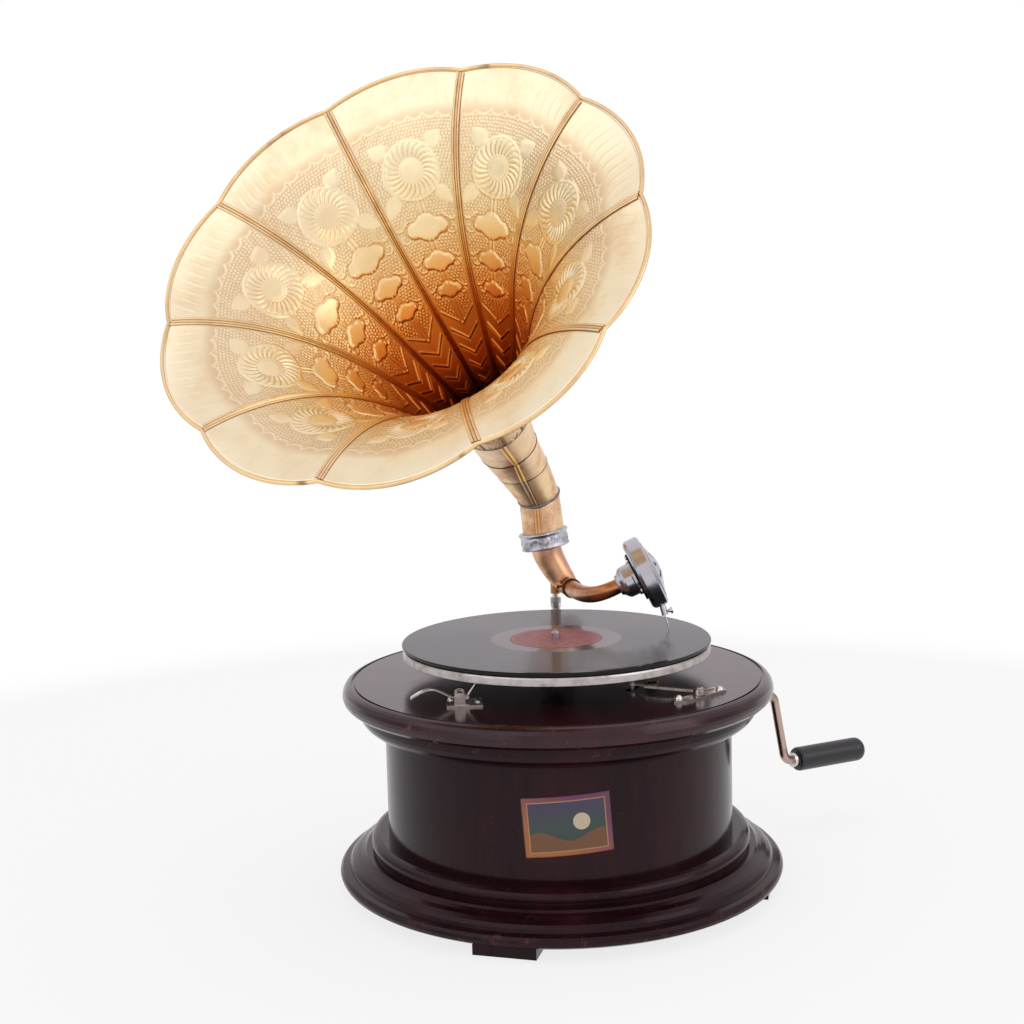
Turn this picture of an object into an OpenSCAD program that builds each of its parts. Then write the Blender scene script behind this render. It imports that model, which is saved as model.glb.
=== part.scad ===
// Gramophone: a round wooden cabinet with a spring motor, a turntable, and a swinging arm that
// carries the sound box and a ten-leaf brass horn. Millimetres, +Z up, floor at z = 0.
// Every piece is placed from the cabinet's axis.

/* [Placement] */
// cabinet axis, to the right of the middle of the whole object
cabinet_x = 8.32; // [-40:0.01:40]
// cabinet axis, behind the middle of the whole object
cabinet_y = 20.46; // [-40:0.01:60]

/* [Cabinet] */
// height of the foot blocks
foot_h = 10; // [6:0.5:14]
// width of a foot along the rim
foot_w = 48; // [36:1:60]
// depth of a foot toward the axis
foot_deep = 26; // [20:1:34]
// how far a foot's outer face stays inside the base's widest line
foot_inset = 8.5; // [5:0.5:14]
// turn of the first foot from the front, toward the left
foot_turn = 14; // [0:1:40]
// widest radius of the base moulding
base_r = 181; // [176:0.5:188]
// height of the base moulding
base_h = 34; // [32:0.5:40]
// outer radius of the drum
drum_r = 140.7; // [138:0.1:143]
// thickness of the drum's wall
drum_wall_t = 6.7; // [5:0.1:8]
// height of the drum that shows between base and cornice
drum_show_h = 90; // [86:1:100]
// outer radius of the cornice
cornice_r = 161.5; // [157:0.5:165]
// height of the cornice
cornice_h = 18; // [17:0.5:22]
// depth and height of the cornice's quarter round
ovolo_r = 14; // [10:0.5:15]
// widest radius of the top board
board_r = 174; // [172:0.5:180]
// thickness of the top board
board_t = 17; // [15:0.5:20]
// the incised line's middle lies this far inside the board's widest line
line_in = 8.6; // [7.5:0.1:12]
// width of the incised line
line_w = 2.4; // [1.5:0.1:3]
// depth of the incised line
line_deep = 1.2; // [0.6:0.1:2]
// thickness of the bottom board
bottom_t = 8; // [6:0.5:10]

/* [Turntable] */
// diameter of the record
record_d = 250; // [244:1:252]
// thickness of the record
record_t = 2.2; // [1.6:0.1:3]
// diameter of the paper label
label_d = 75; // [70:1:90]
// thickness of the paper label
label_t = 0.3; // [0.25:0.05:0.5]
// thickness of the felt mat
mat_t = 1.2; // [0.8:0.1:2]
// the platter's rim lies this far inside the record's edge
platter_in = 0.5; // [0.2:0.1:2]
// height of the platter's rim
platter_rim_h = 7.1; // [5:0.1:9]
// thickness of the platter's sheet
platter_t = 2; // [1.5:0.1:2.5]
// clear height between the top board and the platter's rim
platter_gap = 18.5; // [17:0.5:22]
// diameter of the spindle pin through the record
pin_d = 7.2; // [6.8:0.05:7.4]
// height of the pin's tip above the record
pin_show = 6.5; // [5:0.5:9]

/* [Motor] */
// height of the motor's bottom plate above the floor
motor_z = 62; // [58:0.5:66]
// diameter of the turntable spindle in its bearing
spindle_d = 9; // [8.6:0.1:9.6]
// height of the barrel's gear above the bottom plate
gear_low = 33; // [32:0.5:34]
// height of the intermediate wheel above the bottom plate
gear_mid = 43; // [42.5:0.5:45]
// height of the governor's driving wheel above the bottom plate
gear_high = 59; // [58:0.5:61]
// thickness of the motor plates
plate_t = 3; // [2.5:0.1:3.4]
// teeth on the spindle's pinion
spindle_teeth = 12; // [12:1:14]
// teeth on the intermediate wheel
wheel_teeth = 48; // [46:1:49]
// module of that pair
wheel_m = 1.25; // [1.2:0.05:1.25]
// teeth on the intermediate pinion
mid_teeth = 10; // [10:1:11]
// teeth on the barrel's gear
barrel_teeth = 52; // [50:1:53]
// module of that pair
barrel_m = 1.5; // [1.45:0.05:1.5]
// teeth on the governor's driving wheel
gov_wheel_teeth = 54; // [52:1:56]
// teeth on the governor's pinion
gov_teeth = 9; // [9:1:10]
// module of that pair
gov_m = 1; // [0.95:0.05:1]
// teeth on the winding shaft's pinion
wind_teeth = 12; // [12:1:12]
// teeth on the arbor's crown wheel
crown_teeth = 24; // [24:1:24]
// module of that pair
crown_m = 1.5; // [1.45:0.05:1.5]
// turns of the mainspring
spring_turns = 9; // [7:1:10]

/* [Crank] */
// turn of the winding shaft from the right, toward the back
crank_az = 27; // [20:1:34]
// depth of the winding shaft's axis below the cornice
crank_under = 10; // [9.6:0.1:12]
// distance of the hanging crank arm from the cabinet's axis
crank_reach = 214; // [206:1:224]
// drop from the shaft to the grip
crank_drop = 62.5; // [54:0.5:70]
// outward lean of the crank arm
crank_lean = 11; // [0:0.5:16]
// diameter of the crank rod
crank_d = 7.5; // [7:0.1:8]
// bend radius of the crank rod
crank_bend = 9; // [8:0.5:12]
// diameter of the grip
grip_d = 21; // [18:0.5:24]
// length of the grip
grip_l = 72; // [60:1:84]

/* [Arm] */
// clear distance from the record's edge to the middle of the support rod
rod_gap = 18; // [16:0.5:20]
// diameter of the support rod
rod_d = 5.6; // [5:0.1:6.2]
// height of the rod's socket above the board
socket_h = 32; // [26:0.5:34]
// outer diameter of the rod's socket
socket_d = 8; // [7.4:0.1:9]
// gooseneck joint, right of the rod
joint_side = 14.7; // [13:0.1:16]
// gooseneck joint, in front of the rod
joint_fore = 25; // [23:0.5:27]
// gooseneck joint, above the record
joint_rise = 20; // [19:0.5:23]
// sound-box centre, right of the rod
box_side = 74.5; // [72:0.5:77]
// sound-box centre, in front of the rod
box_fore = 114; // [112:0.5:116]
// sound-box centre, above the record
box_rise = 47.5; // [46:0.5:50]
// tilt of the sound box: its front looks up by this angle
box_tilt = 25.5; // [22:0.5:29]
// turn of the sound box toward the back
box_turn = 2; // [0:0.5:5]
// diameter of the sound box
box_d = 61; // [58:0.5:64]
// thickness of the sound box at its rim
box_t = 14; // [12:0.5:16]
// length of the connector cup
cup_l = 16.2; // [14:0.1:18]
// diameter of the gooseneck tube at its joint
neck_d = 15; // [14:0.1:16]
// diameter of the gooseneck tube at the cup
neck_end_d = 12.4; // [11:0.1:13]
// bend radius of the gooseneck
neck_bend = 25; // [22:0.5:27]
// wall of the arm's tubes
tube_t = 1; // [0.8:0.05:1.3]
// side lean of the needle in the sound box's plane
needle_side = 8.4; // [4:0.2:12]
// backward lean of the needle from the sound box's plane
needle_back = 10.9; // [6:0.1:14]
// clear height of the needle's tip above the record
needle_gap = 0.35; // [0.3:0.05:0.6]

/* [Horn] */
// outer diameter of the silver collar
collar_d = 40; // [38:0.5:44]
// height of the collar
collar_h = 16; // [14:0.5:18]
// lean of the collar toward the left
collar_lean = 10.2; // [8:0.1:12]
// collar's middle, left of the rod
collar_side = 9; // [8:0.1:10.5]
// collar's middle, above the record
collar_rise = 61.5; // [60:0.5:64]
// diameter of the horn's neck in the collar
horn_foot_d = 36; // [35:0.1:37]
// from the collar's middle to the corner of the elbow
elbow_up = 53.8; // [52:0.2:56]
// bend radius of the mitred elbow
elbow_r = 65; // [62:0.5:66]
// the mouth looks up by this angle
mouth_up = 36; // [34:0.5:38]
// the mouth looks left of the front by this angle
mouth_left = 21; // [19:0.5:23]
// from the corner of the elbow to the middle of the mouth
horn_l = 318; // [312:1:324]
// radius of the mouth at a seam
mouth_r = 184.8; // [181:0.2:188]
// inner radius of the throat
throat_r = 27; // [26.5:0.1:27.5]
// number of leaves
leaves = 10; // [10:1:10]
// how much the rim swells outward between two seams
scallop = 0.04; // [0.02:0.005:0.05]
// thickness of the brass sheet
sheet_t = 0.8; // [0.7:0.05:1]
// radius of the rim wire
wire_r = 1.7; // [1.4:0.05:2]
// width of a seam strip at the rim
seam_w = 5; // [4:0.1:6]

/* [Levers] */
// brake pivot, left of the cabinet's axis
brake_x = 73; // [71:0.5:75]
// brake pivot, behind the platter's front edge
brake_y = 27.5; // [26:0.1:29.5]
// turn of the brake lever that lets the platter go
brake_swing = 20; // [14:1:24]
// height of the brake pivot above the board
brake_rise = 7; // [6.5:0.1:8]
// length of the brake's finger lever
finger_l = 37; // [30:0.5:42]
// turns of the brake's coil spring
coil_turns = 4; // [3:1:4]
// speed-lever pivot, right of the cabinet's axis
speed_x = 107.3; // [106:0.5:109]
// speed-lever pivot, in front of the cabinet's axis
speed_y = 87; // [86:0.5:88]
// length of the speed plate
speed_plate_l = 53; // [50:0.5:56]
// half width of the speed plate
speed_plate_w = 7.6; // [7:0.1:9]
// length of the bar under the platter
speed_bar_l = 57; // [55:0.5:59]

/* [Hidden] */
$fn = 64;

// running clearance of pins in bores, and gap of parts that are fitted
run = 0.07;
fit = 0.03;
// gap between bodies that pass each other
air = 0.35;

// heights of the cabinet
z_base = foot_h + base_h;
z_cornice = z_base + drum_show_h;
z_board = z_cornice + cornice_h;
z_top = z_board + board_t;
drum_in = drum_r - drum_wall_t;
rebate = 6;
ledge = 14;

// heights of the turntable
z_rim = z_top + platter_gap;
z_platter = z_rim + platter_rim_h;
z_mat = z_platter + mat_t;
z_record = z_mat + record_t;
platter_r = record_d / 2 - platter_in;
arm_y = record_d / 2 + rod_gap;
rod_r = rod_d / 2;

function unit(v) = v / norm(v);
function mix(a, b, t) = a + (b - a) * t;
module cab() translate([cabinet_x, cabinet_y, 0]) children();
// frame at point o with axes x, y and z = x cross y
module frame(o, x, y) {
    z = cross(x, y);
    multmatrix([[x[0], y[0], z[0], o[0]], [x[1], y[1], z[1], o[1]], [x[2], y[2], z[2], o[2]], [0, 0, 0, 1]])
        children();
}
// frame at point o whose z axis is d
module along(o, d) {
    a = acos(d[2] / norm(d));
    translate(o) rotate([0, a, atan2(d[1], d[0])]) children();
}
// tube or bar between two radii
module ring(r_out, r_in, h) difference() {
    cylinder(r = r_out, h = h);
    translate([0, 0, -1]) cylinder(r = r_in, h = h + 2);
}
module pan_head(r, h) {
    cylinder(r = r, h = h * 0.5);
    translate([0, 0, h * 0.5]) cylinder(r1 = r, r2 = r * 0.6, h = h * 0.5);
}

wood = [0.13, 0.05, 0.05];
steel = [0.62, 0.62, 0.62];
nickel = [0.75, 0.73, 0.7];
gold = [0.85, 0.65, 0.3];
copper = [0.72, 0.42, 0.22];
chrome = [0.82, 0.83, 0.85];

module feet() color(wood) cab()
    for (i = [0:3])
        rotate(-90 - foot_turn + 90 * i)
            translate([base_r - foot_inset - foot_deep / 2, 0, foot_h / 2])
                cube([foot_deep, foot_w, foot_h], center = true);

// plinth, ogee, groove and roll: steps in from the widest radius and up from the feet, drawn for an
// overhang of drawn_out and stretched with the base's own
drawn_out = 40.3;
step = (base_r - drum_r) / drawn_out;
base_steps = [[3.5, 0], [0.9, 1.8], [0, 4.5], [0.5, 6.6], [2.4, 8.6], [7.6, 9.7], [8.3, 12.4], [10.4, 14.9],
    [13.8, 17], [17.5, 18.6], [20, 20.1], [21.8, 21.6], [27.6, 21.9], [27.6, 24.2], [26.4, 25.6],
    [26.1, base_h - 6.5], [26.5, base_h - 4.4], [27.6, base_h - 2.5], [29.6, base_h - 1], [32.6, base_h]];
module base_moulding() color(wood) cab() translate([0, 0, foot_h]) rotate_extrude()
    polygon(concat([[drum_in - ledge, 0]], [for (p = base_steps) [base_r - step * p[0], p[1]]],
        [[drum_r + fit, base_h], [drum_r + fit, base_h - rebate], [drum_in - ledge, base_h - rebate]]));

module bottom_board() color(wood) cab() translate([0, 0, z_base - rebate])
    cylinder(r = drum_in - fit, h = bottom_t);

shaft_r = crank_d / 2 + 2.75;
crank_z = z_cornice - crank_under;
flange_r = crank_under - 0.4;
module at_crank() cab() translate([0, 0, crank_z]) rotate(crank_az) rotate([0, 90, 0]) children();

module drum_wall() color(wood) difference() {
    cab() translate([0, 0, z_base - rebate]) ring(drum_r, drum_in, z_board - z_base + rebate);
    at_crank() cylinder(r = shaft_r + 1.5 + fit, h = base_r);
}

module cornice() color(wood) cab() translate([0, 0, z_cornice]) rotate_extrude() {
    polygon(concat([[drum_r + fit, 0]],
        [for (a = [0:15:90]) [cornice_r - ovolo_r + ovolo_r * sin(a), ovolo_r * (1 - cos(a))]],
        [[cornice_r, cornice_h], [drum_r + fit, cornice_h]]));
}

brake_az = 5;
brake_screw_at = [[13.5, 1], [-6.5, 9.5]];
speed_az = 37;
speed_screw_u = speed_plate_l / 2 - 5.5;
bracket_screw_at = [for (i = [0:2]) [9 * cos(120 * i + 90), arm_y + 9 * sin(120 * i + 90)]];
module at_brake() cab() translate([-brake_x, brake_y - platter_r, z_top]) rotate(brake_az) children();
module at_speed() cab() translate([speed_x, -speed_y, z_top]) rotate(speed_az) children();
screw_r = 1.4;
screw_l = 9;
module brake_screw_shanks(r) at_brake() for (p = brake_screw_at)
    translate([p[0], p[1], -screw_l]) cylinder(r = r, h = screw_l + plate_h);
module speed_screw_shanks(r) at_speed() for (s = [-1, 1])
    translate([s * speed_screw_u, 0, -screw_l]) cylinder(r = r, h = screw_l + plate_h);
plate_h = 1.6;

bushing_r = spindle_d / 2 + 3.5;
bolt_r = 2.5;
// motor plate in the frame of the gear train: u along the crank's direction, v to its left
train_az = crank_az;
mid_u = wheel_m * (spindle_teeth + wheel_teeth) / 2;
barrel_u = mid_u + barrel_m * (mid_teeth + barrel_teeth) / 2;
gov_dist = gov_m * (gov_wheel_teeth + gov_teeth) / 2;
gov_az = -62;
gov_at = [gov_dist * cos(gov_az), gov_dist * sin(gov_az)];
plate_u0 = -30;
plate_u1 = 117;
plate_v = 46;
ear_at = [46.6, -73.2];
bolt_at = [ear_at, [-18, 36], [106, 34]];
pillar_at = [[-22, -38], [-22, 26], [108, -40], [100, 42]];
module train() cab() rotate(train_az) children();

board_line_r = board_r - line_in;
module top_board() color(wood) difference() {
    cab() translate([0, 0, z_board]) rotate_extrude()
        polygon([[bushing_r + fit, 0], [board_r - 7, 0], [board_r - 3.5, 1], [board_r - 1, 3.5],
            [board_r, board_t * 0.4], [board_r - 0.2, board_t * 0.55], [board_r - 1.1, board_t - 4.6],
            [board_r - 2.8, board_t - 2.2], [board_r - 4.6, board_t - 0.8], [board_r - 6.8, board_t],
            [board_line_r + line_w / 2, board_t], [board_line_r + line_w / 2 - 0.3, board_t - line_deep],
            [board_line_r - line_w / 2 + 0.3, board_t - line_deep], [board_line_r - line_w / 2, board_t],
            [bushing_r + fit, board_t]]);
    brake_screw_shanks(screw_r + fit);
    speed_screw_shanks(screw_r + fit);
    cab() for (p = bracket_screw_at)
        translate([p[0], p[1], z_top - screw_l]) cylinder(r = screw_r + fit, h = screw_l + 1);
    train() for (p = bolt_at)
        translate([p[0], p[1], z_board - 1]) cylinder(r = bolt_r + fit, h = board_t + 2);
    cab() translate([0, arm_y, z_top - socket_deep]) cylinder(r = socket_d / 2 + fit, h = socket_deep + 1);
    speed_slot() translate([0, 0, z_board - 1]) cylinder(r = 3, h = board_t + 2);
}
socket_deep = 10;

// tube through the wall with a round flange on the outside
module crank_escutcheon() color(nickel) at_crank() rotate_extrude()
    polygon([[shaft_r + run, drum_in - 2], [shaft_r + 1.5, drum_in - 2], [shaft_r + 1.5, drum_r + fit],
        [flange_r, drum_r + fit], [flange_r, drum_r + 1.6], [flange_r - 0.8, drum_r + 2.4],
        [shaft_r + 1.4, drum_r + 2.7], [shaft_r + 1, drum_r + 4], [shaft_r + run, drum_r + 4]]);

module spindle_bushing() color(gold) cab() translate([0, 0, z_board - 1.5])
    ring(bushing_r, spindle_d / 2 + run, board_t + 3.5);

module arm_bracket() color(nickel) difference() {
    cab() translate([0, arm_y, z_top]) {
        translate([0, 0, -socket_deep]) cylinder(r = socket_d / 2, h = socket_deep + socket_h);
        cylinder(r = 13, h = 2);
        translate([0, 0, 2]) cylinder(r1 = 7.5, r2 = socket_d / 2, h = 6);
        translate([0, 0, socket_h - 4]) cylinder(r = socket_d / 2 + 0.7, h = 4);
    }
    cab() translate([0, arm_y, z_top - socket_deep + 2]) cylinder(r = rod_r + run, h = socket_h + 20);
}

module brake_plate() color(nickel) difference() {
    at_brake() union() {
        translate([-10, -10, 0]) cube([27, 22, plate_h]);
        for (y = [-9.2, 5]) translate([-4, y, 0]) {
            cube([8, 1.6, brake_rise]);
            translate([4, 1.6, brake_rise]) rotate([90, 0, 0]) cylinder(r = 4, h = 1.6);
        }
    }
    at_brake() translate([0, 10, brake_rise]) rotate([90, 0, 0]) cylinder(r = brake_pin_r + run, h = 22);
    brake_screw_shanks(screw_r + fit);
}
module brake_screws() color(chrome) {
    brake_screw_shanks(screw_r);
    at_brake() for (p = brake_screw_at) translate([p[0], p[1], plate_h]) pan_head(2.6, 1.8);
}

module speed_plate() color(nickel) difference() {
    at_speed() union() {
        linear_extrude(plate_h) polygon([[-speed_plate_l / 2, -1.5], [-speed_plate_l * 0.36, -speed_plate_w],
            [speed_plate_l / 2, -1.5], [speed_plate_l / 2, 1.5], [speed_plate_l * 0.36, speed_plate_w],
            [-speed_plate_l / 2, 1.5]]);
        cylinder(r = speed_pin_r, h = 7.8);
        translate([0, 0, 6.8]) cylinder(r = 3.4, h = 1);
    }
    speed_screw_shanks(screw_r + fit);
}
module speed_screws() color(chrome) {
    speed_screw_shanks(screw_r);
    at_speed() for (s = [-1, 1]) translate([s * speed_screw_u, 0, plate_h]) {
        cylinder(r = 3.1, h = 0.8);
        translate([0, 0, 0.8]) intersection() {
            cylinder(r = 3.1, h = 3);
            translate([0, 0, -0.6]) sphere(r = 3.16);
        }
    }
}

z_plate = z_board - 5;
z_low = motor_z + plate_t;
module motor_bolts() color([0.55, 0.4, 0.25]) train() for (p = bolt_at) translate([p[0], p[1], 0]) {
    translate([0, 0, z_plate - 4]) cylinder(r = bolt_r, h = z_top - z_plate + 4);
    translate([0, 0, z_top]) pan_head(5, 2.6);
    translate([0, 0, z_plate - 3.4]) ring(4.6, bolt_r, 3.4);
    translate([0, 0, z_plate + plate_t]) ring(6, bolt_r, z_board - z_plate - plate_t);
}
module plate_outline() {
    translate([plate_u0, -plate_v]) square([plate_u1 - plate_u0, 2 * plate_v]);
}
module motor_top_plate() color(steel) difference() {
    train() translate([0, 0, z_plate]) linear_extrude(plate_t) {
        plate_outline();
        translate([ear_at[0] - 10, ear_at[1]]) square([20, 30]);
        translate(ear_at) circle(r = 10);
    }
    train() translate([0, 0, z_plate - 1]) {
        cylinder(r = bushing_r + 1, h = plate_t + 2);
        translate([mid_u, 0, 0]) cylinder(r = mid_r + run, h = plate_t + 2);
        translate([barrel_u, 0, 0]) cylinder(r = arbor_r + run, h = plate_t + 2);
        translate(gov_at) cylinder(r = gov_r + run, h = plate_t + 2);
        for (p = bolt_at) translate(p) cylinder(r = bolt_r + fit, h = plate_t + 2);
        for (p = pillar_at) translate(p) cylinder(r = 2.2 + fit, h = plate_t + 2);
    }
}
module motor_bottom_plate() color(steel) difference() {
    train() translate([0, 0, motor_z]) linear_extrude(plate_t) plate_outline();
    train() translate([0, 0, motor_z + 1]) {
        cylinder(r = spindle_d / 2 - 1 + run, h = plate_t + 2);
        translate([mid_u, 0, 0]) cylinder(r = mid_r + run, h = plate_t + 2);
        translate([barrel_u, 0, 0]) cylinder(r = arbor_r + run, h = plate_t + 2);
        translate(gov_at) cylinder(r = gov_r + run, h = plate_t + 2);
    }
    train() for (p = pillar_at)
        translate([p[0], p[1], motor_z - 1]) cylinder(r = 2.2 + fit, h = plate_t + 2);
}
module motor_pillars() color(steel) train() for (p = pillar_at) translate([p[0], p[1], 0]) {
    translate([0, 0, z_low]) cylinder(r = 4, h = z_plate - z_low);
    translate([0, 0, motor_z]) cylinder(r = 2.2, h = z_plate + plate_t - motor_z);
    translate([0, 0, motor_z - 2.5]) cylinder(r = 4, h = 2.5);
}

// gear outline with straight-sided teeth: half widths at root and tip as parts of the pitch
function gear_points(n, m) = [for (i = [0:n - 1]) let (c = 360 / n * i, h = 180 / n)
    for (q = [[-0.62, -1.25], [-0.22, 0.85], [0.22, 0.85], [0.62, -1.25]])
        let (r = m * (n / 2 + q[1]), a = c + q[0] * h) [r * cos(a), r * sin(a)]];
module gear(n, m, h) linear_extrude(h) polygon(gear_points(n, m));

mid_r = 3;
arbor_r = 4;
gov_r = 2;
z_pair_b = z_low + gear_low;
z_pair_w = z_low + gear_mid;
z_pair_g = z_low + gear_high;
spindle_foot = motor_z + 1 + air;

module spindle() color(steel) train() {
    translate([0, 0, spindle_foot]) cylinder(r = spindle_d / 2 - 1, h = z_low + 6 - spindle_foot);
    translate([0, 0, z_low + 3]) cylinder(r = spindle_d / 2, h = z_platter - 8 - z_low - 3);
    translate([0, 0, z_platter - 8]) cylinder(r = pin_d / 2, h = z_record + pin_show - 2 - z_platter + 8);
    translate([0, 0, z_record + pin_show - 2]) cylinder(r1 = pin_d / 2, r2 = 1.4, h = 2);
    translate([0, 0, z_pair_w - 2]) gear(spindle_teeth, wheel_m, 8);
    translate([0, 0, z_pair_g]) rotate(gov_az) gear(gov_wheel_teeth, gov_m, 3);
}

hub_r = 14;
disc_edge = platter_r - platter_t;
module platter() color(nickel) cab() rotate_extrude()
    polygon([[spindle_d / 2 + fit, z_platter - 14], [hub_r - 1, z_platter - 14], [hub_r, z_platter - 13],
        [hub_r, z_platter - platter_t], [disc_edge - fit, z_platter - platter_t],
        [disc_edge - fit, z_platter], [pin_d / 2 + fit, z_platter], [pin_d / 2 + fit, z_platter - 8],
        [spindle_d / 2 + fit, z_platter - 8]]);
// band round the disc's edge
module platter_rim() color(nickel) cab() rotate_extrude()
    polygon([[disc_edge, z_rim + 0.6], [disc_edge + 0.6, z_rim], [platter_r - 0.5, z_rim],
        [platter_r, z_rim + 0.5], [platter_r, z_platter - 1.8], [platter_r - 0.6, z_platter - 0.6],
        [platter_r - 1.8, z_platter], [disc_edge, z_platter]]);
module felt_mat() color([0.12, 0.12, 0.1]) cab() translate([0, 0, z_platter])
    ring(platter_r - 2.2, pin_d / 2 + fit, mat_t);
label_deep = label_t / 2;
module record() color([0.07, 0.07, 0.07]) cab() rotate_extrude()
    polygon([[pin_d / 2 + fit, z_mat], [record_d / 2 - 0.6, z_mat], [record_d / 2, z_mat + 0.6],
        [record_d / 2, z_record - 0.6], [record_d / 2 - 0.6, z_record], [label_d / 2 + 0.1, z_record],
        [label_d / 2 + 0.1, z_record - label_deep], [pin_d / 2 + fit, z_record - label_deep]]);
module record_label() color([0.5, 0.2, 0.15]) cab() translate([0, 0, z_record - label_deep])
    ring(label_d / 2, pin_d / 2 + fit, label_t);

module intermediate_wheel() color(gold) train() translate([mid_u, 0, 0]) {
    translate([0, 0, motor_z + 1 + air]) cylinder(r = mid_r, h = z_plate + plate_t - 1 - motor_z - air);
    translate([0, 0, z_low + 0.5]) cylinder(r = mid_r + 1.5, h = 8);
    translate([0, 0, z_pair_b - 3]) gear(mid_teeth, barrel_m, z_pair_w - z_pair_b + 3);
    translate([0, 0, z_pair_w]) rotate(180 + 180 / wheel_teeth) difference() {
        gear(wheel_teeth, wheel_m, 4);
        for (i = [0:4]) rotate(72 * i)
            translate([wheel_teeth * wheel_m * 0.28, 0, -1])
                cylinder(r = wheel_teeth * wheel_m * 0.09, h = 6);
    }
}

barrel_r = barrel_m * barrel_teeth / 2 - 3;
module spring_barrel() color(gold) train() translate([barrel_u, 0, 0]) {
    difference() {
        union() {
            translate([0, 0, z_low + 2]) cylinder(r = barrel_r, h = z_pair_b - z_low - 1);
            translate([0, 0, z_pair_b]) rotate(180 + 180 / barrel_teeth) gear(barrel_teeth, barrel_m, 4);
        }
        translate([0, 0, z_low + 4]) cylinder(r = barrel_r - 2, h = z_pair_b - z_low - 4);
        cylinder(r = arbor_r + run, h = z_board);
    }
}
// strip wound as an even spiral: n points a turn, from the hook near the arbor to the barrel's wall
spring_in = 9;
spring_out = barrel_r - 2 - 0.3;
strip_t = 0.5;
strip_pts = [for (i = [0:16 * spring_turns]) mix(spring_in, spring_out, i / (16 * spring_turns))];
strip_pitch = (spring_out - spring_in) / spring_turns;
echo(least_gap_of_the_mainspring = strip_pitch * cos(180 / 16) - strip_t);
module mainspring() color([0.35, 0.35, 0.4]) train()
    translate([barrel_u, 0, z_low + 4.5]) linear_extrude(z_pair_b - z_low - 5.5)
        polygon(concat([for (i = [0:len(strip_pts) - 1]) strip_pts[i] * [cos(22.5 * i), sin(22.5 * i)]],
            [for (i = [len(strip_pts) - 1:-1:0])
                (strip_pts[i] - strip_t) * [cos(22.5 * i), sin(22.5 * i)]]));

wind_r = wind_teeth * crown_m / 2;
crown_r = crown_teeth * crown_m / 2;
crown_z = crank_z + wind_r;
module winding_arbor() color(steel) train() translate([barrel_u, 0, 0]) {
    translate([0, 0, motor_z + 1 + air]) cylinder(r = arbor_r, h = z_plate + plate_t - 1 - motor_z - air);
    difference() {
        translate([0, 0, crown_z + 2]) cylinder(r = crown_r + 3.5, h = 4);
        translate([0, 0, crown_z]) ring(crown_r - 5, arbor_r + 3, 4);
    }
    for (i = [0:crown_teeth - 1]) rotate(360 / crown_teeth * (i + 0.5))
        translate([crown_r - 3.5, 0, crown_z - 1.2]) rotate([90, 0, 90])
            linear_extrude(7) polygon([[-0.45, 0], [0.45, 0], [0.9, 3.4], [-0.9, 3.4]]);
}
module winding_shaft() color(steel) difference() {
    at_crank() union() {
        translate([0, 0, barrel_u + crown_r - 3]) rotate(180) gear(wind_teeth, crown_m, 6);
        translate([0, 0, barrel_u + crown_r + 3])
            cylinder(r = shaft_r, h = drum_r + 4.5 - barrel_u - crown_r - 3);
    }
    at_crank() translate([0, 0, socket_in]) cylinder(r = crank_d / 2 + fit, h = base_r);
}
socket_in = drum_in - 10;

disc_r = 12;
z_disc = z_low + 7;
module governor_shaft() color(steel) train() translate([gov_at[0], gov_at[1], 0]) {
    translate([0, 0, motor_z + 1 + air]) cylinder(r = gov_r, h = z_plate + plate_t - 1 - motor_z - air);
    translate([0, 0, z_disc]) cylinder(r = disc_r, h = 2.5);
    translate([0, 0, z_disc + 2.5]) cylinder(r = 5, h = 5);
    translate([0, 0, z_disc + 30]) cylinder(r = 5, h = 5);
    translate([0, 0, z_pair_g - 2]) rotate(gov_az + 180 + 180 / gov_teeth) gear(gov_teeth, gov_m, 7);
}
// three balls on bowed strips from the lower to the upper hub
ball_out = 12;
module governor_balls() color(gold) train() translate([gov_at[0], gov_at[1], z_disc + 5]) for (i = [0:2])
    rotate(120 * i) {
        translate([ball_out + 0.4, 0, 13.75]) sphere(r = 4.2);
        translate([0, 1.5, 0]) rotate([90, 0, 0]) linear_extrude(3)
            polygon([[5, 0], [5.7, 0], [ball_out - 3.4, 10], [ball_out - 3.4, 17.5], [5.7, 27.5], [5, 27.5],
                [ball_out - 4.1, 17.5], [ball_out - 4.1, 10]]);
    }

arm_turn = 90 - crank_lean;
bend_rise = crank_bend * (1 - cos(arm_turn));
crank_leg = (crank_drop - 2 * bend_rise) / cos(crank_lean);
bend_at = crank_reach - crank_bend;
grip_at = bend_at + 2 * crank_bend * sin(arm_turn) + crank_leg * sin(crank_lean);
ferrule_l = 4;
// in the crank frame z runs outward and +x hangs down
leg_dir = [sin(arm_turn), 0, cos(arm_turn)];
leg_out = [cos(arm_turn), 0, -sin(arm_turn)];
module rod_bend(centre, from, dir) frame(centre, from, dir) rotate_extrude(angle = arm_turn)
    translate([crank_bend, 0]) circle(r = crank_d / 2 + bend_swell);
module crank_rod() color(nickel) at_crank() {
    translate([0, 0, socket_in + 0.5]) cylinder(r = crank_d / 2, h = bend_at - socket_in - 0.5 + bend_lap);
    rod_bend([crank_bend, 0, bend_at], [-1, 0, 0], [0, 0, 1]);
    translate([bend_rise, 0, bend_at + crank_bend * sin(arm_turn)]) rotate([0, arm_turn, 0])
        translate([0, 0, -bend_lap]) cylinder(r = crank_d / 2, h = crank_leg + 2 * bend_lap);
    rod_bend([crank_drop - crank_bend, 0, grip_at], leg_out, leg_dir);
    translate([crank_drop, 0, grip_at - bend_lap])
        cylinder(r = crank_d / 2, h = ferrule_l + grip_l - 9 + bend_lap);
}
module crank_ferrule() color(chrome) at_crank() translate([crank_drop, 0, grip_at])
    ring(crank_d / 2 + 2.6, crank_d / 2 + fit, ferrule_l - air);
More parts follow.
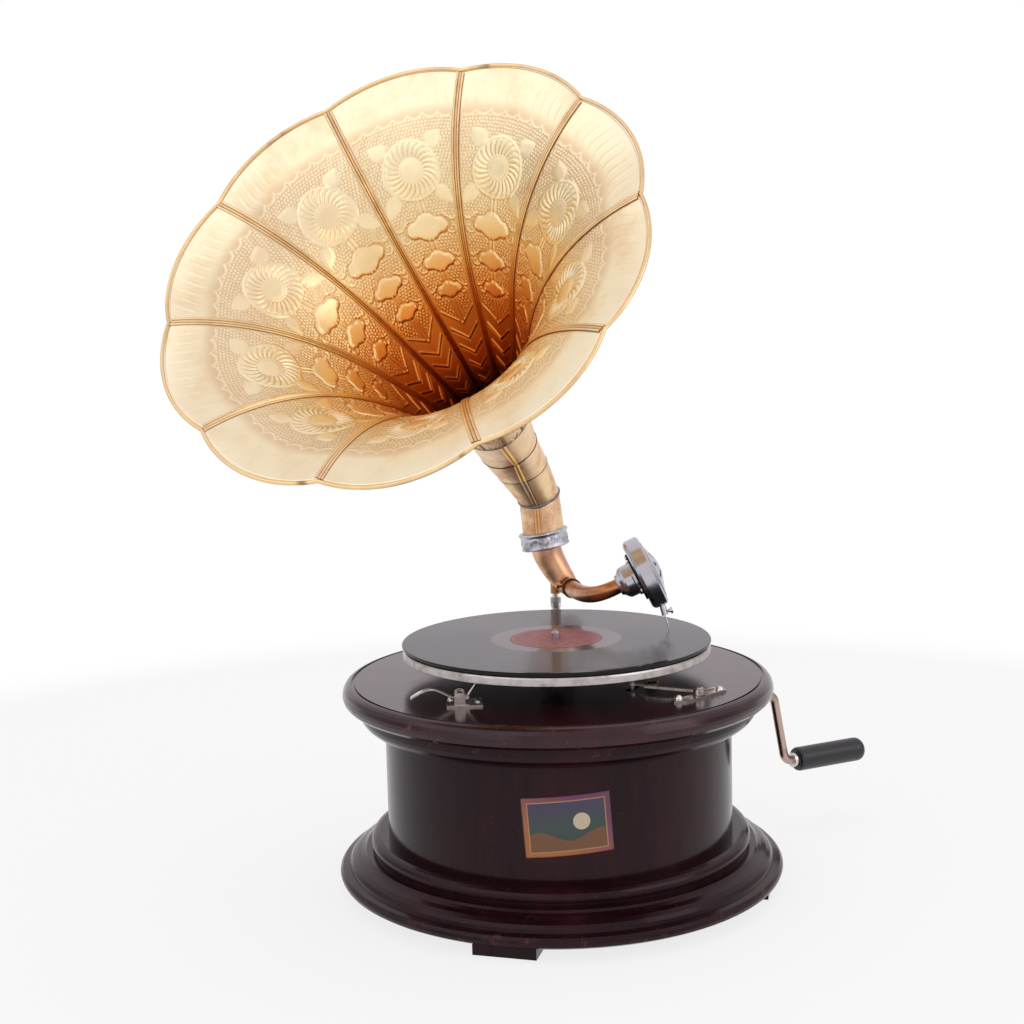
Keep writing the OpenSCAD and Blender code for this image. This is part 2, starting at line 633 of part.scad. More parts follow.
module crank_grip() color([0.06, 0.06, 0.07]) at_crank() translate([crank_drop, 0, grip_at + ferrule_l])
    difference() {
        rotate_extrude() polygon(concat([[0, 0], [grip_d / 2 - 2.2, 0], [grip_d / 2 - 0.7, 0.8],
            [grip_d / 2, 2.6]],
            [for (a = [0:15:90]) [grip_d / 2 - 7 + 7 * cos(a), grip_l - 7 + 7 * sin(a)]], [[0, grip_l]]));
        translate([0, 0, -1]) cylinder(r = crank_d / 2 + run, h = grip_l - 7.4);
    }

z_socket = z_top + socket_h;
rod_top = z_record + 17.5;
boss_low = rod_top - 6;
module support_rod() color(nickel) cab() translate([0, arm_y, z_top - socket_deep + 2 + air])
    cylinder(r = rod_r, h = rod_top - z_top + socket_deep - 2 - air);
module rod_collar() color(steel) cab() translate([0, arm_y, z_socket + air])
    ring(rod_r + 2, rod_r + fit, 4.2);

collar_dir = [-sin(collar_lean), 0, cos(collar_lean)];
collar_at = [-collar_side, arm_y, z_record + collar_rise];
joint_at = [joint_side, arm_y - joint_fore, z_record + joint_rise];
box_at = [box_side, arm_y - box_fore, z_record + box_rise];
box_dir = [cos(box_tilt) * cos(box_turn), cos(box_tilt) * sin(box_turn), sin(box_tilt)];
gasket_t = 1.5;
cup_at = box_at - box_dir * (box_t / 2 + gasket_t + cup_l);
bend_lead = 26;
neck_corner = cup_at - box_dir * bend_lead;
neck_dir = unit(neck_corner - joint_at);
neck_turn = acos(neck_dir * box_dir);
neck_tan = neck_bend * tan(neck_turn / 2);
neck_in = unit(box_dir - (box_dir * neck_dir) * neck_dir);
neck_centre = neck_corner - neck_tan * neck_dir + neck_bend * neck_in;
neck_l = norm(neck_corner - joint_at) - neck_tan;
spigot_r = neck_d / 2 - 1.4;
spigot_l = 10;
socket_l = 13;

// swan neck: a cubic path from the collar's underside to the joint's socket
swan_a = collar_at - collar_dir * (collar_h / 2 + 0.6);
swan_d = joint_at - neck_dir * (socket_l - 1);
swan_b = swan_a - collar_dir * 14;
swan_c = swan_d - neck_dir * 12;
swan_rings = 14;
swan_wall = 2.2;
swan_r0 = 11;
swan_r1 = neck_d / 2 + 0.5;
function swan(t) = pow(1 - t, 3) * swan_a + 3 * t * pow(1 - t, 2) * swan_b
    + 3 * t * t * (1 - t) * swan_c + pow(t, 3) * swan_d;
function swan_dir(t) = t < 0.001 ? -collar_dir : t > 0.999 ? neck_dir
    : unit(swan(t + 0.001) - swan(t - 0.001));
function swan_x(t) = let (d = swan_dir(t), h = unit([1, 0.35, 0.5])) unit(h - (h * d) * d);
function swan_loop(t, r) = let (d = swan_dir(t), x = swan_x(t), y = cross(d, x))
    [for (i = [0:23]) swan(t) + r * (cos(15 * i) * x + sin(15 * i) * y)];

// solid through closed loops of equal length, ends fanned from their middles
function loop_faces(k, n) = [for (i = [0:k - 2], j = [0:n - 1]) let (a = i * n + j, b = i * n + (j + 1) % n)
    each [[a, a + n, b], [b, a + n, b + n]]];
function mean(l) = [for (v = l) 1] * l / len(l);
module loft(loops) {
    n = len(loops[0]);
    k = len(loops);
    polyhedron(points = concat([for (l = loops) each l], [mean(loops[0]), mean(loops[k - 1])]),
        faces = concat(loop_faces(k, n), [for (j = [0:n - 1]) [k * n, j, (j + 1) % n]],
            [for (j = [0:n - 1]) [k * n + 1, (k - 1) * n + (j + 1) % n, (k - 1) * n + j]]));
}
// closed band: the last loop joins the first
module band(loops) {
    n = len(loops[0]);
    k = len(loops);
    polyhedron(points = [for (l = loops) each l],
        faces = [for (i = [0:k - 1], j = [0:n - 1])
            let (a = i * n + j, b = i * n + (j + 1) % n, c = ((i + 1) % k) * n + j,
                d = ((i + 1) % k) * n + (j + 1) % n) each [[a, c, b], [b, c, d]]]);
}
function swan_t(i) = i / swan_rings;
function swan_r(i) = mix(swan_r0, swan_r1, swan_t(i));
module swan_neck() color(copper) cab() band(concat(
    [for (i = [0:swan_rings]) swan_loop(swan_t(i), swan_r(i))],
    [for (i = [swan_rings:-1:0]) swan_loop(swan_t(i), swan_r(i) - swan_wall)]));
module swan_socket() color(copper) cab() along(joint_at - neck_dir * (socket_l - 1.02), neck_dir)
    rotate_extrude() polygon([[spigot_r - tube_t, 0], [swan_r1, 0], [swan_r1 + 0.4, 0.8],
        [swan_r1 + 0.4, socket_l - 2.4], [swan_r1 - 0.2, socket_l - 1.5], [spigot_r + run, socket_l - 1.5],
        [spigot_r + run, socket_l - spigot_l - 1.5], [spigot_r - tube_t, socket_l - spigot_l - 1.5]]);
// boss on the support rod, cut to the swan neck's underside
module rod_boss() color(copper) cab() difference() {
    translate([0, arm_y, boss_low]) cylinder(r = rod_r + 1.7, h = 14);
    loft([for (i = [0:swan_rings]) swan_loop(swan_t(i), swan_r(i) + 0.05)]);
    translate([0, arm_y, boss_low - 1]) cylinder(r = rod_r + fit, h = rod_top - boss_low + 1);
}

collar_bore = horn_foot_d / 2 + run;
module collar_ring() color([0.7, 0.71, 0.72]) cab() along(collar_at, collar_dir) rotate_extrude()
    polygon([[swan_r0 - swan_wall, -collar_h / 2], [collar_d / 2 - 3, -collar_h / 2],
        [collar_d / 2 - 1, 1.2 - collar_h / 2],
        [collar_d / 2, 3 - collar_h / 2], [collar_d / 2 - 0.8, 4.2 - collar_h / 2],
        [collar_d / 2 - 0.8, collar_h / 2 - 4], [collar_d / 2, collar_h / 2 - 3],
        [collar_d / 2, collar_h / 2 - 0.8], [collar_d / 2 - 0.8, collar_h / 2],
        [collar_bore, collar_h / 2], [collar_bore, 3.5 - collar_h / 2],
        [swan_r0 - swan_wall, 3.5 - collar_h / 2]]);

knob_dir = unit(cross(neck_dir, [0.25, 0, 1]));
module joint_screw() color(copper) cab() along(joint_at - neck_dir * 6, knob_dir)
    translate([0, 0, swan_r1 + 0.42]) {
        cylinder(r = 1.6, h = 2.2);
        translate([0, 0, 2.2]) cylinder(r = 3.2, h = 2.4);
        translate([0, 0, 4.6]) cylinder(r1 = 3.2, r2 = 2.2, h = 0.8);
    }

bend_r = (neck_d + neck_end_d) / 4 - 0.2;
neck_tail = bend_lead - neck_tan + 4;
// bends are a hair thicker than the straight lengths that run a little way into them
bend_lap = 0.5;
bend_swell = 0.06;
module neck_solid(cut, start, past) {
    along(joint_at + start * neck_dir, neck_dir)
        cylinder(r1 = neck_d / 2 - cut, r2 = bend_r - bend_swell - cut, h = neck_l + bend_lap - start);
    frame(neck_centre, -neck_in, neck_dir) rotate_extrude(angle = neck_turn)
        translate([neck_bend, 0]) circle(r = bend_r - cut);
    along(neck_corner + box_dir * (neck_tan - bend_lap), box_dir)
        cylinder(r1 = bend_r - bend_swell - cut, r2 = neck_end_d / 2 - cut, h = neck_tail + bend_lap + past);
}
module gooseneck() color(copper) cab() difference() {
    union() {
        neck_solid(0, 0, 0);
        along(joint_at - neck_dir * spigot_l, neck_dir) cylinder(r = spigot_r, h = spigot_l + 1);
    }
    neck_solid(tube_t, 1, 1);
    along(joint_at - neck_dir * (spigot_l + 1), neck_dir) cylinder(r = spigot_r - tube_t, h = spigot_l + 4);
}
module joint_ring() color([0.12, 0.08, 0.07]) cab() along(joint_at + neck_dir * 0.4, neck_dir)
    ring(neck_d / 2 + 1.3, neck_d / 2 + fit, 2.4);

// frame of the sound box: z out of its front, +x down in its plane
module at_box() cab() translate(box_at) rotate([0, 90 - box_tilt, box_turn]) children();
box_r = box_d / 2;
half_t = box_t / 2;
module connector_cup() color(chrome) at_box() translate([0, 0, -half_t - gasket_t - cup_l])
    rotate_extrude() polygon([[neck_end_d / 2 + 0.1, 0], [8, 0], [8.6, 0.6], [9.2, 2.2], [11.4, 4],
        [12.6, 5.2],
        [13.4, 7], [13.6, cup_l - 3], [15, cup_l - 2], [15, cup_l], [6, cup_l], [6, 5],
        [neck_end_d / 2 + 0.1, 4.4]]);
gasket_r = 20.5;
gasket_screw_r = 18;
module box_gasket() color([0.07, 0.07, 0.07]) at_box() difference() {
    translate([0, 0, -half_t - gasket_t]) ring(gasket_r, 6, gasket_t);
    for (i = [0:2]) rotate(120 * i + 60) translate([gasket_screw_r, 0, -half_t - 5]) cylinder(r = 1, h = 6);
}
module gasket_screws() color(chrome) at_box() for (i = [0:2]) rotate(120 * i + 60)
    translate([gasket_screw_r, 0, -half_t - gasket_t]) {
        translate([0, 0, -1.2]) cylinder(r = 1.9, h = 1.2);
        cylinder(r = 1 - fit, h = gasket_t + 2);
    }
pocket_r = 24.5;
slot_floor = -2.9;
stylus_x = 28.5;
stylus_z = 1.2;
pin_r = 0.9;
module box_case() color(chrome) difference() {
    at_box() rotate_extrude() polygon([[6, -half_t], [box_r - 3, -half_t], [box_r - 1.2, 1 - half_t],
        [box_r, 3 - half_t], [box_r, half_t - 1.6], [box_r - 1.6, half_t], [pocket_r + 0.1, half_t],
        [pocket_r + 0.1, -2.2], [22, -2.2], [22, -4], [6, -4]]);
    at_box() for (i = [0:2]) rotate(120 * i + 60)
        translate([gasket_screw_r, 0, -half_t - 1]) cylinder(r = 1, h = 4);
    at_box() translate([24, -3.8, slot_floor]) cube([9, 7.6, half_t + 5]);
    at_box() translate([stylus_x, 8, stylus_z]) rotate([90, 0, 0]) cylinder(r = pin_r + run, h = 16);
}
module diaphragm() color([0.55, 0.5, 0.4]) at_box() difference() {
    union() {
        translate([0, 0, -0.15]) cylinder(r = pocket_r - 0.1, h = 0.3);
        translate([0, 0, -2.2]) ring(pocket_r, 22.2, 2.05);
    }
    translate([25, -5, -3]) cube([5, 10, 6]);
}
dome_h = 6;
module box_cover() color(chrome) at_box() difference() {
    rotate_extrude() polygon([[22.4, 0.15], [pocket_r, 0.15], [pocket_r, half_t + 0.6],
        [pocket_r - 1, half_t + 1],
        [20.5, half_t + 1], [19.5, half_t + 1.6], [5, half_t + dome_h], [0, half_t + dome_h],
        [0, half_t + dome_h - 1.2], [4.6, half_t + dome_h - 1.2], [19, half_t + 0.2], [22.4, half_t - 1]]);
    for (i = [0:7]) rotate(45 * i + 22.5) translate([7.5, -1.7, half_t - 1]) cube([8.5, 3.4, dome_h + 2]);
    translate([18, -3.8, -1]) cube([9, 7.6, half_t - 0.5]);
}

needle_dir0 = [cos(needle_back) * cos(needle_side), -sin(needle_side), -sin(needle_back) * cos(needle_side)];
// the same direction in the cabinet's frame
box_down = [sin(box_tilt) * cos(box_turn), sin(box_tilt) * sin(box_turn), -cos(box_tilt)];
box_left = [-sin(box_turn), cos(box_turn), 0];
needle_dir = needle_dir0[0] * box_down + needle_dir0[1] * box_left + needle_dir0[2] * box_dir;
stylus_at = box_at + stylus_x * box_down + stylus_z * box_dir;
tip_dist = (stylus_at[2] - z_record - needle_gap) / -needle_dir[2];
chuck_l = 11;
needle_in = 5;
needle_r = 0.7;
module stylus_bar() color(chrome) difference() {
    union() {
        at_box() translate([stylus_x, 3.4, stylus_z]) rotate([90, 0, 0]) cylinder(r = 1.9, h = 6.8);
        at_box() translate([stylus_x, 7.6, stylus_z]) rotate([90, 0, 0]) cylinder(r = pin_r, h = 15.2);
        at_box() translate([-1, -1, stylus_z + 0.2]) cube([stylus_x + 1, 2, 0.9]);
        cab() along(stylus_at, needle_dir) cylinder(r = 2.6, h = chuck_l);
    }
    cab() along(stylus_at + needle_dir * (chuck_l - needle_in), needle_dir)
        cylinder(r = needle_r + 0.02, h = 9);
    cab() along(screw_at, screw_dir) cylinder(r = 0.9 + run, h = 6);
}
screw_at = stylus_at + needle_dir * (chuck_l - 2.6);
screw_dir = unit(cross(cross(needle_dir, box_dir), needle_dir));
module needle() color(steel) cab() along(stylus_at + needle_dir * (chuck_l - needle_in + 0.1), needle_dir) {
    cylinder(r = needle_r, h = tip_dist - chuck_l + needle_in - 5.1);
    translate([0, 0, tip_dist - chuck_l + needle_in - 5.1]) cylinder(r1 = needle_r, r2 = 0.15, h = 5);
}
module needle_screw() color(chrome) cab() along(screw_at, screw_dir) {
    translate([0, 0, needle_r + air]) cylinder(r = 0.9, h = 5);
    translate([0, 0, 3.1]) cylinder(r = 1.5, h = 2.2);
    translate([0, 0, 5.3]) cylinder(r = 2.75, h = 1.8);
}

elbow_at = collar_at + collar_dir * elbow_up;
horn_dir = [-cos(mouth_up) * sin(mouth_left), -cos(mouth_up) * cos(mouth_left), sin(mouth_up)];
mouth_at = elbow_at + horn_dir * horn_l;
horn_a = unit(cross([0, 0, 1], horn_dir));
horn_b = cross(horn_dir, horn_a);
elbow_turn = acos(collar_dir * horn_dir);
elbow_axis = unit(cross(collar_dir, horn_dir));
elbow_in = cross(elbow_axis, collar_dir);
mitres = 4;
mitre_turn = elbow_turn / mitres;
mitre_tan = elbow_r * tan(mitre_turn / 2);
elbow_tan = elbow_r * tan(elbow_turn / 2);
function turned(a) = cos(a) * collar_dir + sin(a) * elbow_in;
function mitre_at(i) = i == 0 ? elbow_at - collar_dir * (elbow_tan - mitre_tan)
    : mitre_at(i - 1) + 2 * mitre_tan * turned(mitre_turn * i);
horn_foot_r = horn_foot_d / 2;
neck_radii = [horn_foot_r + 0.8, horn_foot_r + 2.2, horn_foot_r + 5, throat_r - 0.1];
throat_s = horn_l - elbow_tan + mitre_tan;
function circle_at(c, d, r) = let (y = cross(d, elbow_axis))
    [for (i = [0:31]) c + r * (cos(11.25 * i) * elbow_axis + sin(11.25 * i) * y)];
function mitre_loop(i, r) = circle_at(mitre_at(i), turned(mitre_turn * (i + 0.5)), r);
// how far the neck runs up inside the bell
neck_lap = 7;
horn_foot_at = collar_at - collar_dir * (collar_h / 2 - 3.5 - air);
module horn_neck() color(gold) cab() band(concat(
    [circle_at(horn_foot_at, collar_dir, horn_foot_r), circle_at(collar_at + collar_dir * (collar_h / 2 + 1),
        collar_dir, horn_foot_r)],
    [for (i = [0:3]) mitre_loop(i, neck_radii[i])],
    [circle_at(mitre_at(3) + horn_dir * neck_lap, horn_dir, throat_r - 0.1),
        circle_at(mitre_at(3) + horn_dir * neck_lap, horn_dir, throat_r - 0.1 - sheet_t)],
    [for (i = [3:-1:0]) mitre_loop(i, neck_radii[i] - sheet_t)],
    [circle_at(collar_at + collar_dir * (collar_h / 2 + 1), collar_dir, horn_foot_r - sheet_t),
        circle_at(horn_foot_at, collar_dir, horn_foot_r - sheet_t)]));

// solder rings: a bead of five corners whose inner edge touches the neck at the mitre, square to the
// bell at the last
function bead_loop(i, r, w, h) = let (d = i == 3 ? horn_dir : turned(mitre_turn * (i + 0.5)))
    [for (q = [[0.05, 0], [h * 0.6, w / 2], [h, w / 4], [h, -w / 4], [h * 0.6, -w / 2]])
        circle_at(mitre_at(i) + d * q[1], d, r + q[0])];
module solder_rings() color([0.45, 0.47, 0.5]) cab() {
    band(bead_loop(0, neck_radii[0], 5, 2));
    band(bead_loop(1, neck_radii[1], 2.6, 1.3));
    band(bead_loop(2, neck_radii[2], 2.4, 1.3));
    band(bead_loop(3, throat_r + sheet_t + 0.45, 6.5, 2.2));
}

// meridian of the bell's inner side: depth behind the mouth and radius, t from rim to throat
flare_b = [14.14, mouth_r - 51.7];
flare_c = [67.85, throat_r + 13.4];
function flare(t) = pow(1 - t, 3) * [0, mouth_r] + 3 * t * pow(1 - t, 2) * flare_b
    + 3 * t * t * (1 - t) * flare_c + pow(t, 3) * [throat_s, throat_r];
function flare_out(t) = let (d = flare(t + 0.001) - flare(t - 0.001)) unit([-d[1], d[0]]);
leaf_half = 180 / leaves;
seam_az = 195.4;
// swell of the leaf's middle, fading toward the throat
function swell(t, d) = 1 + scallop * pow(1 - t, 2) * (1 - pow(d / leaf_half, 2));
function horn_point(t, az, off) = let (q = flare(t) + off * flare_out(t),
    d = (az - seam_az) % (2 * leaf_half) , e = abs(d) - leaf_half, r = q[1] * swell(t, e))
    mouth_at - horn_dir * q[0] + r * (cos(az) * horn_a + sin(az) * horn_b);
leaf_steps = 6;
flare_steps = 13;
rim_t = (wire_r + 0.12) / (3 * norm(flare_b - [0, mouth_r]));
function flare_t(i) = rim_t + (1 - rim_t) * pow(i / flare_steps, 1.15);
// angle that keeps half a gap of 0.3 between two leaves
function gap_angle(t) = 0.15 / flare(t)[1] * 180 / PI;
function leaf_az(k, t, j) = seam_az - 2 * leaf_half * k + leaf_half
    + (leaf_half - gap_angle(t)) * (2 * j / leaf_steps - 1);
function leaf_loop(k, t) = concat(
    [for (j = [0:leaf_steps]) horn_point(t, leaf_az(k, t, j), sheet_t)],
    [for (j = [leaf_steps:-1:0]) horn_point(t, leaf_az(k, t, j), 0)]);
module leaf(k) {
    n = 2 * leaf_steps + 2;
    last = flare_steps * n;
    polyhedron(points = [for (i = [0:flare_steps]) each leaf_loop(k, flare_t(i))],
        faces = concat(loop_faces(flare_steps + 1, n),
            [for (j = [0:leaf_steps - 1]) each [[j, j + 1, n - 2 - j], [j, n - 2 - j, n - 1 - j]]],
            [for (j = [0:leaf_steps - 1])
                each [[last + j, last + n - 2 - j, last + j + 1],
                    [last + j, last + n - 1 - j, last + n - 2 - j]]]));
}
module horn_bell() color(gold) cab() for (k = [0:leaves - 1]) leaf(k);

// flat strip over each seam inside, standing fold outside
function strip_loop(k, t, half, low, high) = let (az = seam_az - 2 * leaf_half * k,
    side = unit(-sin(az) * horn_a + cos(az) * horn_b))
    [for (q = [[-1, low], [1, low], [1, high], [-1, high]])
        horn_point(t, az, q[1]) + side * half * q[0]];
// the strips end where the neck begins inside and the last solder ring outside
strip_end = 1 - (neck_lap + 1) / (3 * (throat_s - flare_c[0]));
function strip_t(i) = min(flare_t(i), strip_end);
module seam_strips() color(gold) cab() for (k = [0:leaves - 1]) {
    loft([for (i = [0:flare_steps])
        strip_loop(k, strip_t(i), mix(seam_w / 2, 1.3, i / flare_steps), -1.1, -0.08)]);
    loft([for (i = [0:flare_steps]) strip_loop(k, strip_t(i), 0.7, sheet_t + 0.3, sheet_t + 3)]);
}
rim_steps = 8;
wire_shift = flare_out(0.001) * sheet_t / 2;
function rim_loop(i) = let (az = seam_az + 2 * leaf_half / rim_steps * i,
    e = abs(2 * leaf_half / rim_steps * (i % rim_steps) - leaf_half),
    radial = cos(az) * horn_a + sin(az) * horn_b,
    c = mouth_at - horn_dir * wire_shift[0] + radial * (mouth_r * swell(0, e) + wire_shift[1]))
    [for (q = [0:5]) c + wire_r * (cos(60 * q) * radial - sin(60 * q) * horn_dir)];
module rim_wire() color(gold) cab() band([for (i = [0:leaves * rim_steps - 1]) rim_loop(i)]);

brake_pin_r = 1.2;
// the finger lever rises to its crest and then droops to its tip
crest = 0.55;
crest_h = 7;
function finger_z(x) = x < crest ? crest_h * (1 - cos(x / crest * 180)) / 2
    : crest_h - 6.5 * pow((x - crest) / (1 - crest), 1.6);
finger_pts = [for (i = [0:18]) [-3 - (finger_l - 3) * i / 18, brake_rise - 2.2 + finger_z(i / 18)]];
// the crook of the rod clears the plate when the lever is turned by its full swing
crook_r = 1.7;
crook_x = 5.5;
crook_z = brake_rise
    + (plate_h + crook_r + air - brake_rise + crook_x * sin(brake_swing)) / cos(brake_swing);
pad_under = z_platter - platter_t - z_top - 0.5;
brake_rod_l = norm([15 - crook_x, pad_under - 4 - crook_z]);
brake_rod_dir = [15 - crook_x, 0, pad_under - 4 - crook_z] / brake_rod_l;
module brake_lever() color(nickel) at_brake() {
    translate([0, 3.6, brake_rise]) rotate([90, 0, 0]) cylinder(r = 3.1, h = 4.4);
    translate([0, 7.4, brake_rise]) rotate([90, 0, 0]) cylinder(r = brake_pin_r, h = 17.4);
    intersection() {
        translate([0, 4, 0]) rotate([90, 0, 0]) linear_extrude(9)
            polygon(concat([[-0.5, brake_rise - 2.6]], finger_pts,
                [for (i = [len(finger_pts) - 1:-1:0]) finger_pts[i] + [0, 1.2]], [[-0.5, brake_rise - 1.4]]));
        linear_extrude(z_top) polygon([[5, -0.6], [-12, -0.6], [-20, -1.6], [-finger_l - 1, -3.6],
            [-finger_l - 1, 4], [-20, 3.2], [5, 3.2]]);
    }
    translate([0, 0.2, crook_z - 1.3]) cube([crook_x, 3, 2.6]);
    translate([crook_x, 1.7, crook_z]) along([0, 0, 0], brake_rod_dir)
        cylinder(r = 0.9, h = brake_rod_l + 1);
    translate([15, 1.7, pad_under - 4]) cylinder(r = 2.2, h = 4);
    translate([crook_x, 3.5, crook_z]) rotate([90, 0, 0]) cylinder(r = crook_r, h = 3.6);
}

// coil on the pin in front of the hub, one unbroken tube
wire_d = 0.8;
coil_r = 3;
coil_pitch = 1.3;
coil_y0 = 1.4;
coil_n = 8 * coil_turns;
function coil_at(i) = [coil_r * cos(45 * i), -coil_y0 - coil_pitch * i / 8, coil_r * sin(45 * i)];
function coil_loop(i) = let (d = unit(coil_at(i + 0.5) - coil_at(i - 0.5)),
    x = [cos(45 * i), 0, sin(45 * i)], y = cross(d, x))
    [for (q = [0:5]) coil_at(i) + wire_d / 2 * (cos(60 * q) * x + sin(60 * q) * y)];
echo(least_gap_of_the_coil = coil_pitch - wire_d);
module brake_spring() color(steel) at_brake() translate([0, 0, brake_rise])
    loft([for (i = [0:coil_n]) coil_loop(i)]);

speed_pin_r = 2.2;
bar_az = 149 - speed_az;
pointer_az = 3;
rod_swing = 6;
bar_z = 3.2;
module speed_lever() color(nickel) at_speed() difference() {
    union() {
        translate([0, 0, bar_z - 1.2]) cylinder(r = 4.6, h = 4.4);
        rotate(bar_az) translate([0, -1.6, bar_z]) cube([speed_bar_l, 3.2, 1.3]);
        rotate(bar_az + 6) translate([3, -0.8, bar_z]) cube([speed_bar_l * 0.72, 1.6, 2]);
        rotate(bar_az) translate([speed_bar_l, 0, bar_z]) cylinder(r = 3.4, h = 1.3);
        rotate(pointer_az) linear_extrude(bar_z + 1.3) polygon([[2, -1.7], [17, -0.5], [17, 0.5], [2, 1.7]]);
    }
    translate([0, 0, -1]) cylinder(r = speed_pin_r + run, h = 12);
    translate([0, 0, -1]) cylinder(r = 30, h = plate_h + 1 + air);
    rotate(bar_az) translate([speed_bar_l, 0, 0]) cylinder(r = 1.5 + fit, h = 9);
}
bar_end = [speed_x + speed_bar_l * cos(bar_az + speed_az), -speed_y + speed_bar_l * sin(bar_az + speed_az)];
module speed_slot() cab() translate([speed_x, -speed_y, 0]) for (a = [-rod_swing:3:rod_swing])
    rotate(bar_az + speed_az + a) translate([speed_bar_l, 0, 0]) children();
gov_world = [gov_dist * cos(gov_az + train_az), gov_dist * sin(gov_az + train_az)];
finger_to = gov_world - bar_end;
finger_az = atan2(finger_to[1], finger_to[0]);
finger_len = norm(finger_to) - disc_r - 5;
module speed_rod() color(steel) cab() translate([bar_end[0], bar_end[1], 0]) {
    translate([0, 0, z_disc - 1]) cylinder(r = 1.5, h = z_top + bar_z + 1.3 + 1.5 - z_disc + 1);
    rotate(finger_az) {
        translate([0, -1.5, z_disc - 1]) cube([finger_len, 3, 1.6]);
        translate([finger_len - 1, -3, z_disc - 1.5]) cube([2, 6, 5]);
    }
}

feet();
base_moulding();
bottom_board();
drum_wall();
cornice();
top_board();
crank_escutcheon();
spindle_bushing();
arm_bracket();
brake_plate();
brake_screws();
speed_plate();
speed_screws();
motor_bolts();
motor_top_plate();
motor_bottom_plate();
motor_pillars();
spindle();
platter();
platter_rim();
felt_mat();
record();
record_label();
intermediate_wheel();
spring_barrel();
mainspring();
winding_arbor();
winding_shaft();
governor_shaft();
governor_balls();
crank_rod();
crank_ferrule();
crank_grip();
support_rod();
rod_collar();
swan_neck();
swan_socket();
rod_boss();
collar_ring();
joint_screw();
gooseneck();
joint_ring();
connector_cup();
box_gasket();
gasket_screws();
box_case();
diaphragm();
box_cover();
stylus_bar();
needle();
needle_screw();
horn_bell();
seam_strips();
rim_wire();
horn_neck();
solder_rings();
brake_lever();
brake_spring();
speed_lever();
speed_rod();
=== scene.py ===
"""Gramophone: the looks of its round lacquered cabinet, turntable, arm, sound box and embossed horn.

Shapes are worked out in millimetres from the cabinet's axis with the floor at z = 0, as a maker would
measure them, and settle() puts each finished mesh into the frame's metres.
"""
import math

import bmesh
import bpy
import numpy as np
from mathutils import Matrix, Vector


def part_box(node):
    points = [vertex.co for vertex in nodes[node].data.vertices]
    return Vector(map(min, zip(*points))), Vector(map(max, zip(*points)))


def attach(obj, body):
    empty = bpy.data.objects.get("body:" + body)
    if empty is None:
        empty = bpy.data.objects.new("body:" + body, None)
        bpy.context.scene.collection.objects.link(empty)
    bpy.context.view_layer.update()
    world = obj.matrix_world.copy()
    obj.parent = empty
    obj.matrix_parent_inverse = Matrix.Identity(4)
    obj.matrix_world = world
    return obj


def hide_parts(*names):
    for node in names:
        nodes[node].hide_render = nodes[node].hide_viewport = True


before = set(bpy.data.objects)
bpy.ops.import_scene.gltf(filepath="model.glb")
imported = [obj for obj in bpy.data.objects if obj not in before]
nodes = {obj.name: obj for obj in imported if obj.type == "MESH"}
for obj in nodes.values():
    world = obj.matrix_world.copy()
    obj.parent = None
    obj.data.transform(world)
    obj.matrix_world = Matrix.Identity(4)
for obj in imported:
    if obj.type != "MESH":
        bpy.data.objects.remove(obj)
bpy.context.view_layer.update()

MM = 0.001
# two vertices nearer than this, in millimetres, are one: anywhere, and where the two ends of a grid meet
same_spot = 1e-4
same_seam = 1e-3


# places taken from the frame

def middle(name):
    """The middle of a node's box, in metres in the frame."""
    low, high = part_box(name)
    return (Vector(low) + Vector(high)) / 2


AXIS = middle("record")
AXIS.z = 0


def top_of(name):
    """Height of a node's highest point above the floor, in millimetres."""
    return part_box(name)[1][2] / MM


def foot_of(name):
    """Height of a node's lowest point above the floor, in millimetres."""
    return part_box(name)[0][2] / MM


def reach_of(name):
    """Half of a round node's width, in millimetres."""
    low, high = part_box(name)
    return (high[0] - low[0]) / 2 / MM


# the horn, with the same sizes as its solids

collar_at = np.array([-9, 143, 259.5])
collar_lean = math.radians(10.2)
elbow_up = 53.8
elbow_r = 65
horn_l = 318
mouth_left = math.radians(21)
mouth_up = math.radians(36)
mouth_r = 184.8
throat_r = 27
sheet_t = 0.8
wire_r = 1.7
leaves = 10
leaf_half = math.radians(18)
seam_az = math.radians(195.4)
swell_part = 0.04
mitres = 4


def unit(v):
    """A vector of length one."""
    return np.asarray(v, float) / np.linalg.norm(v)


collar_dir = np.array([-math.sin(collar_lean), 0, math.cos(collar_lean)])
horn_dir = np.array([
    -math.cos(mouth_up) * math.sin(mouth_left),
    -math.cos(mouth_up) * math.cos(mouth_left),
    math.sin(mouth_up)])
elbow_at = collar_at + elbow_up * collar_dir
mouth_at = elbow_at + horn_l * horn_dir
horn_a = unit(np.cross([0, 0, 1], horn_dir))
horn_b = np.cross(horn_dir, horn_a)
elbow_turn = math.acos(collar_dir @ horn_dir)
mitre_turn = elbow_turn / mitres
mitre_tan = elbow_r * math.tan(mitre_turn / 2)
elbow_tan = elbow_r * math.tan(elbow_turn / 2)

# the bell's profile as (depth, radius), a Bezier curve from the rim to the throat
flare_points = np.array([
    [0, mouth_r],
    [14.14, mouth_r - 51.7],
    [67.85, throat_r + 13.4],
    [horn_l - elbow_tan + mitre_tan, throat_r]])
flare_steps = 2000


def bezier(points, t):
    """Points of a cubic curve at the shares t."""
    t = np.asarray(t, float)[..., None]
    return ((1 - t) ** 3 * points[0] + 3 * t * (1 - t) ** 2 * points[1]
            + 3 * t * t * (1 - t) * points[2] + t ** 3 * points[3])


flare_t = np.linspace(0, 1, flare_steps)
flare_line = bezier(flare_points, flare_t)
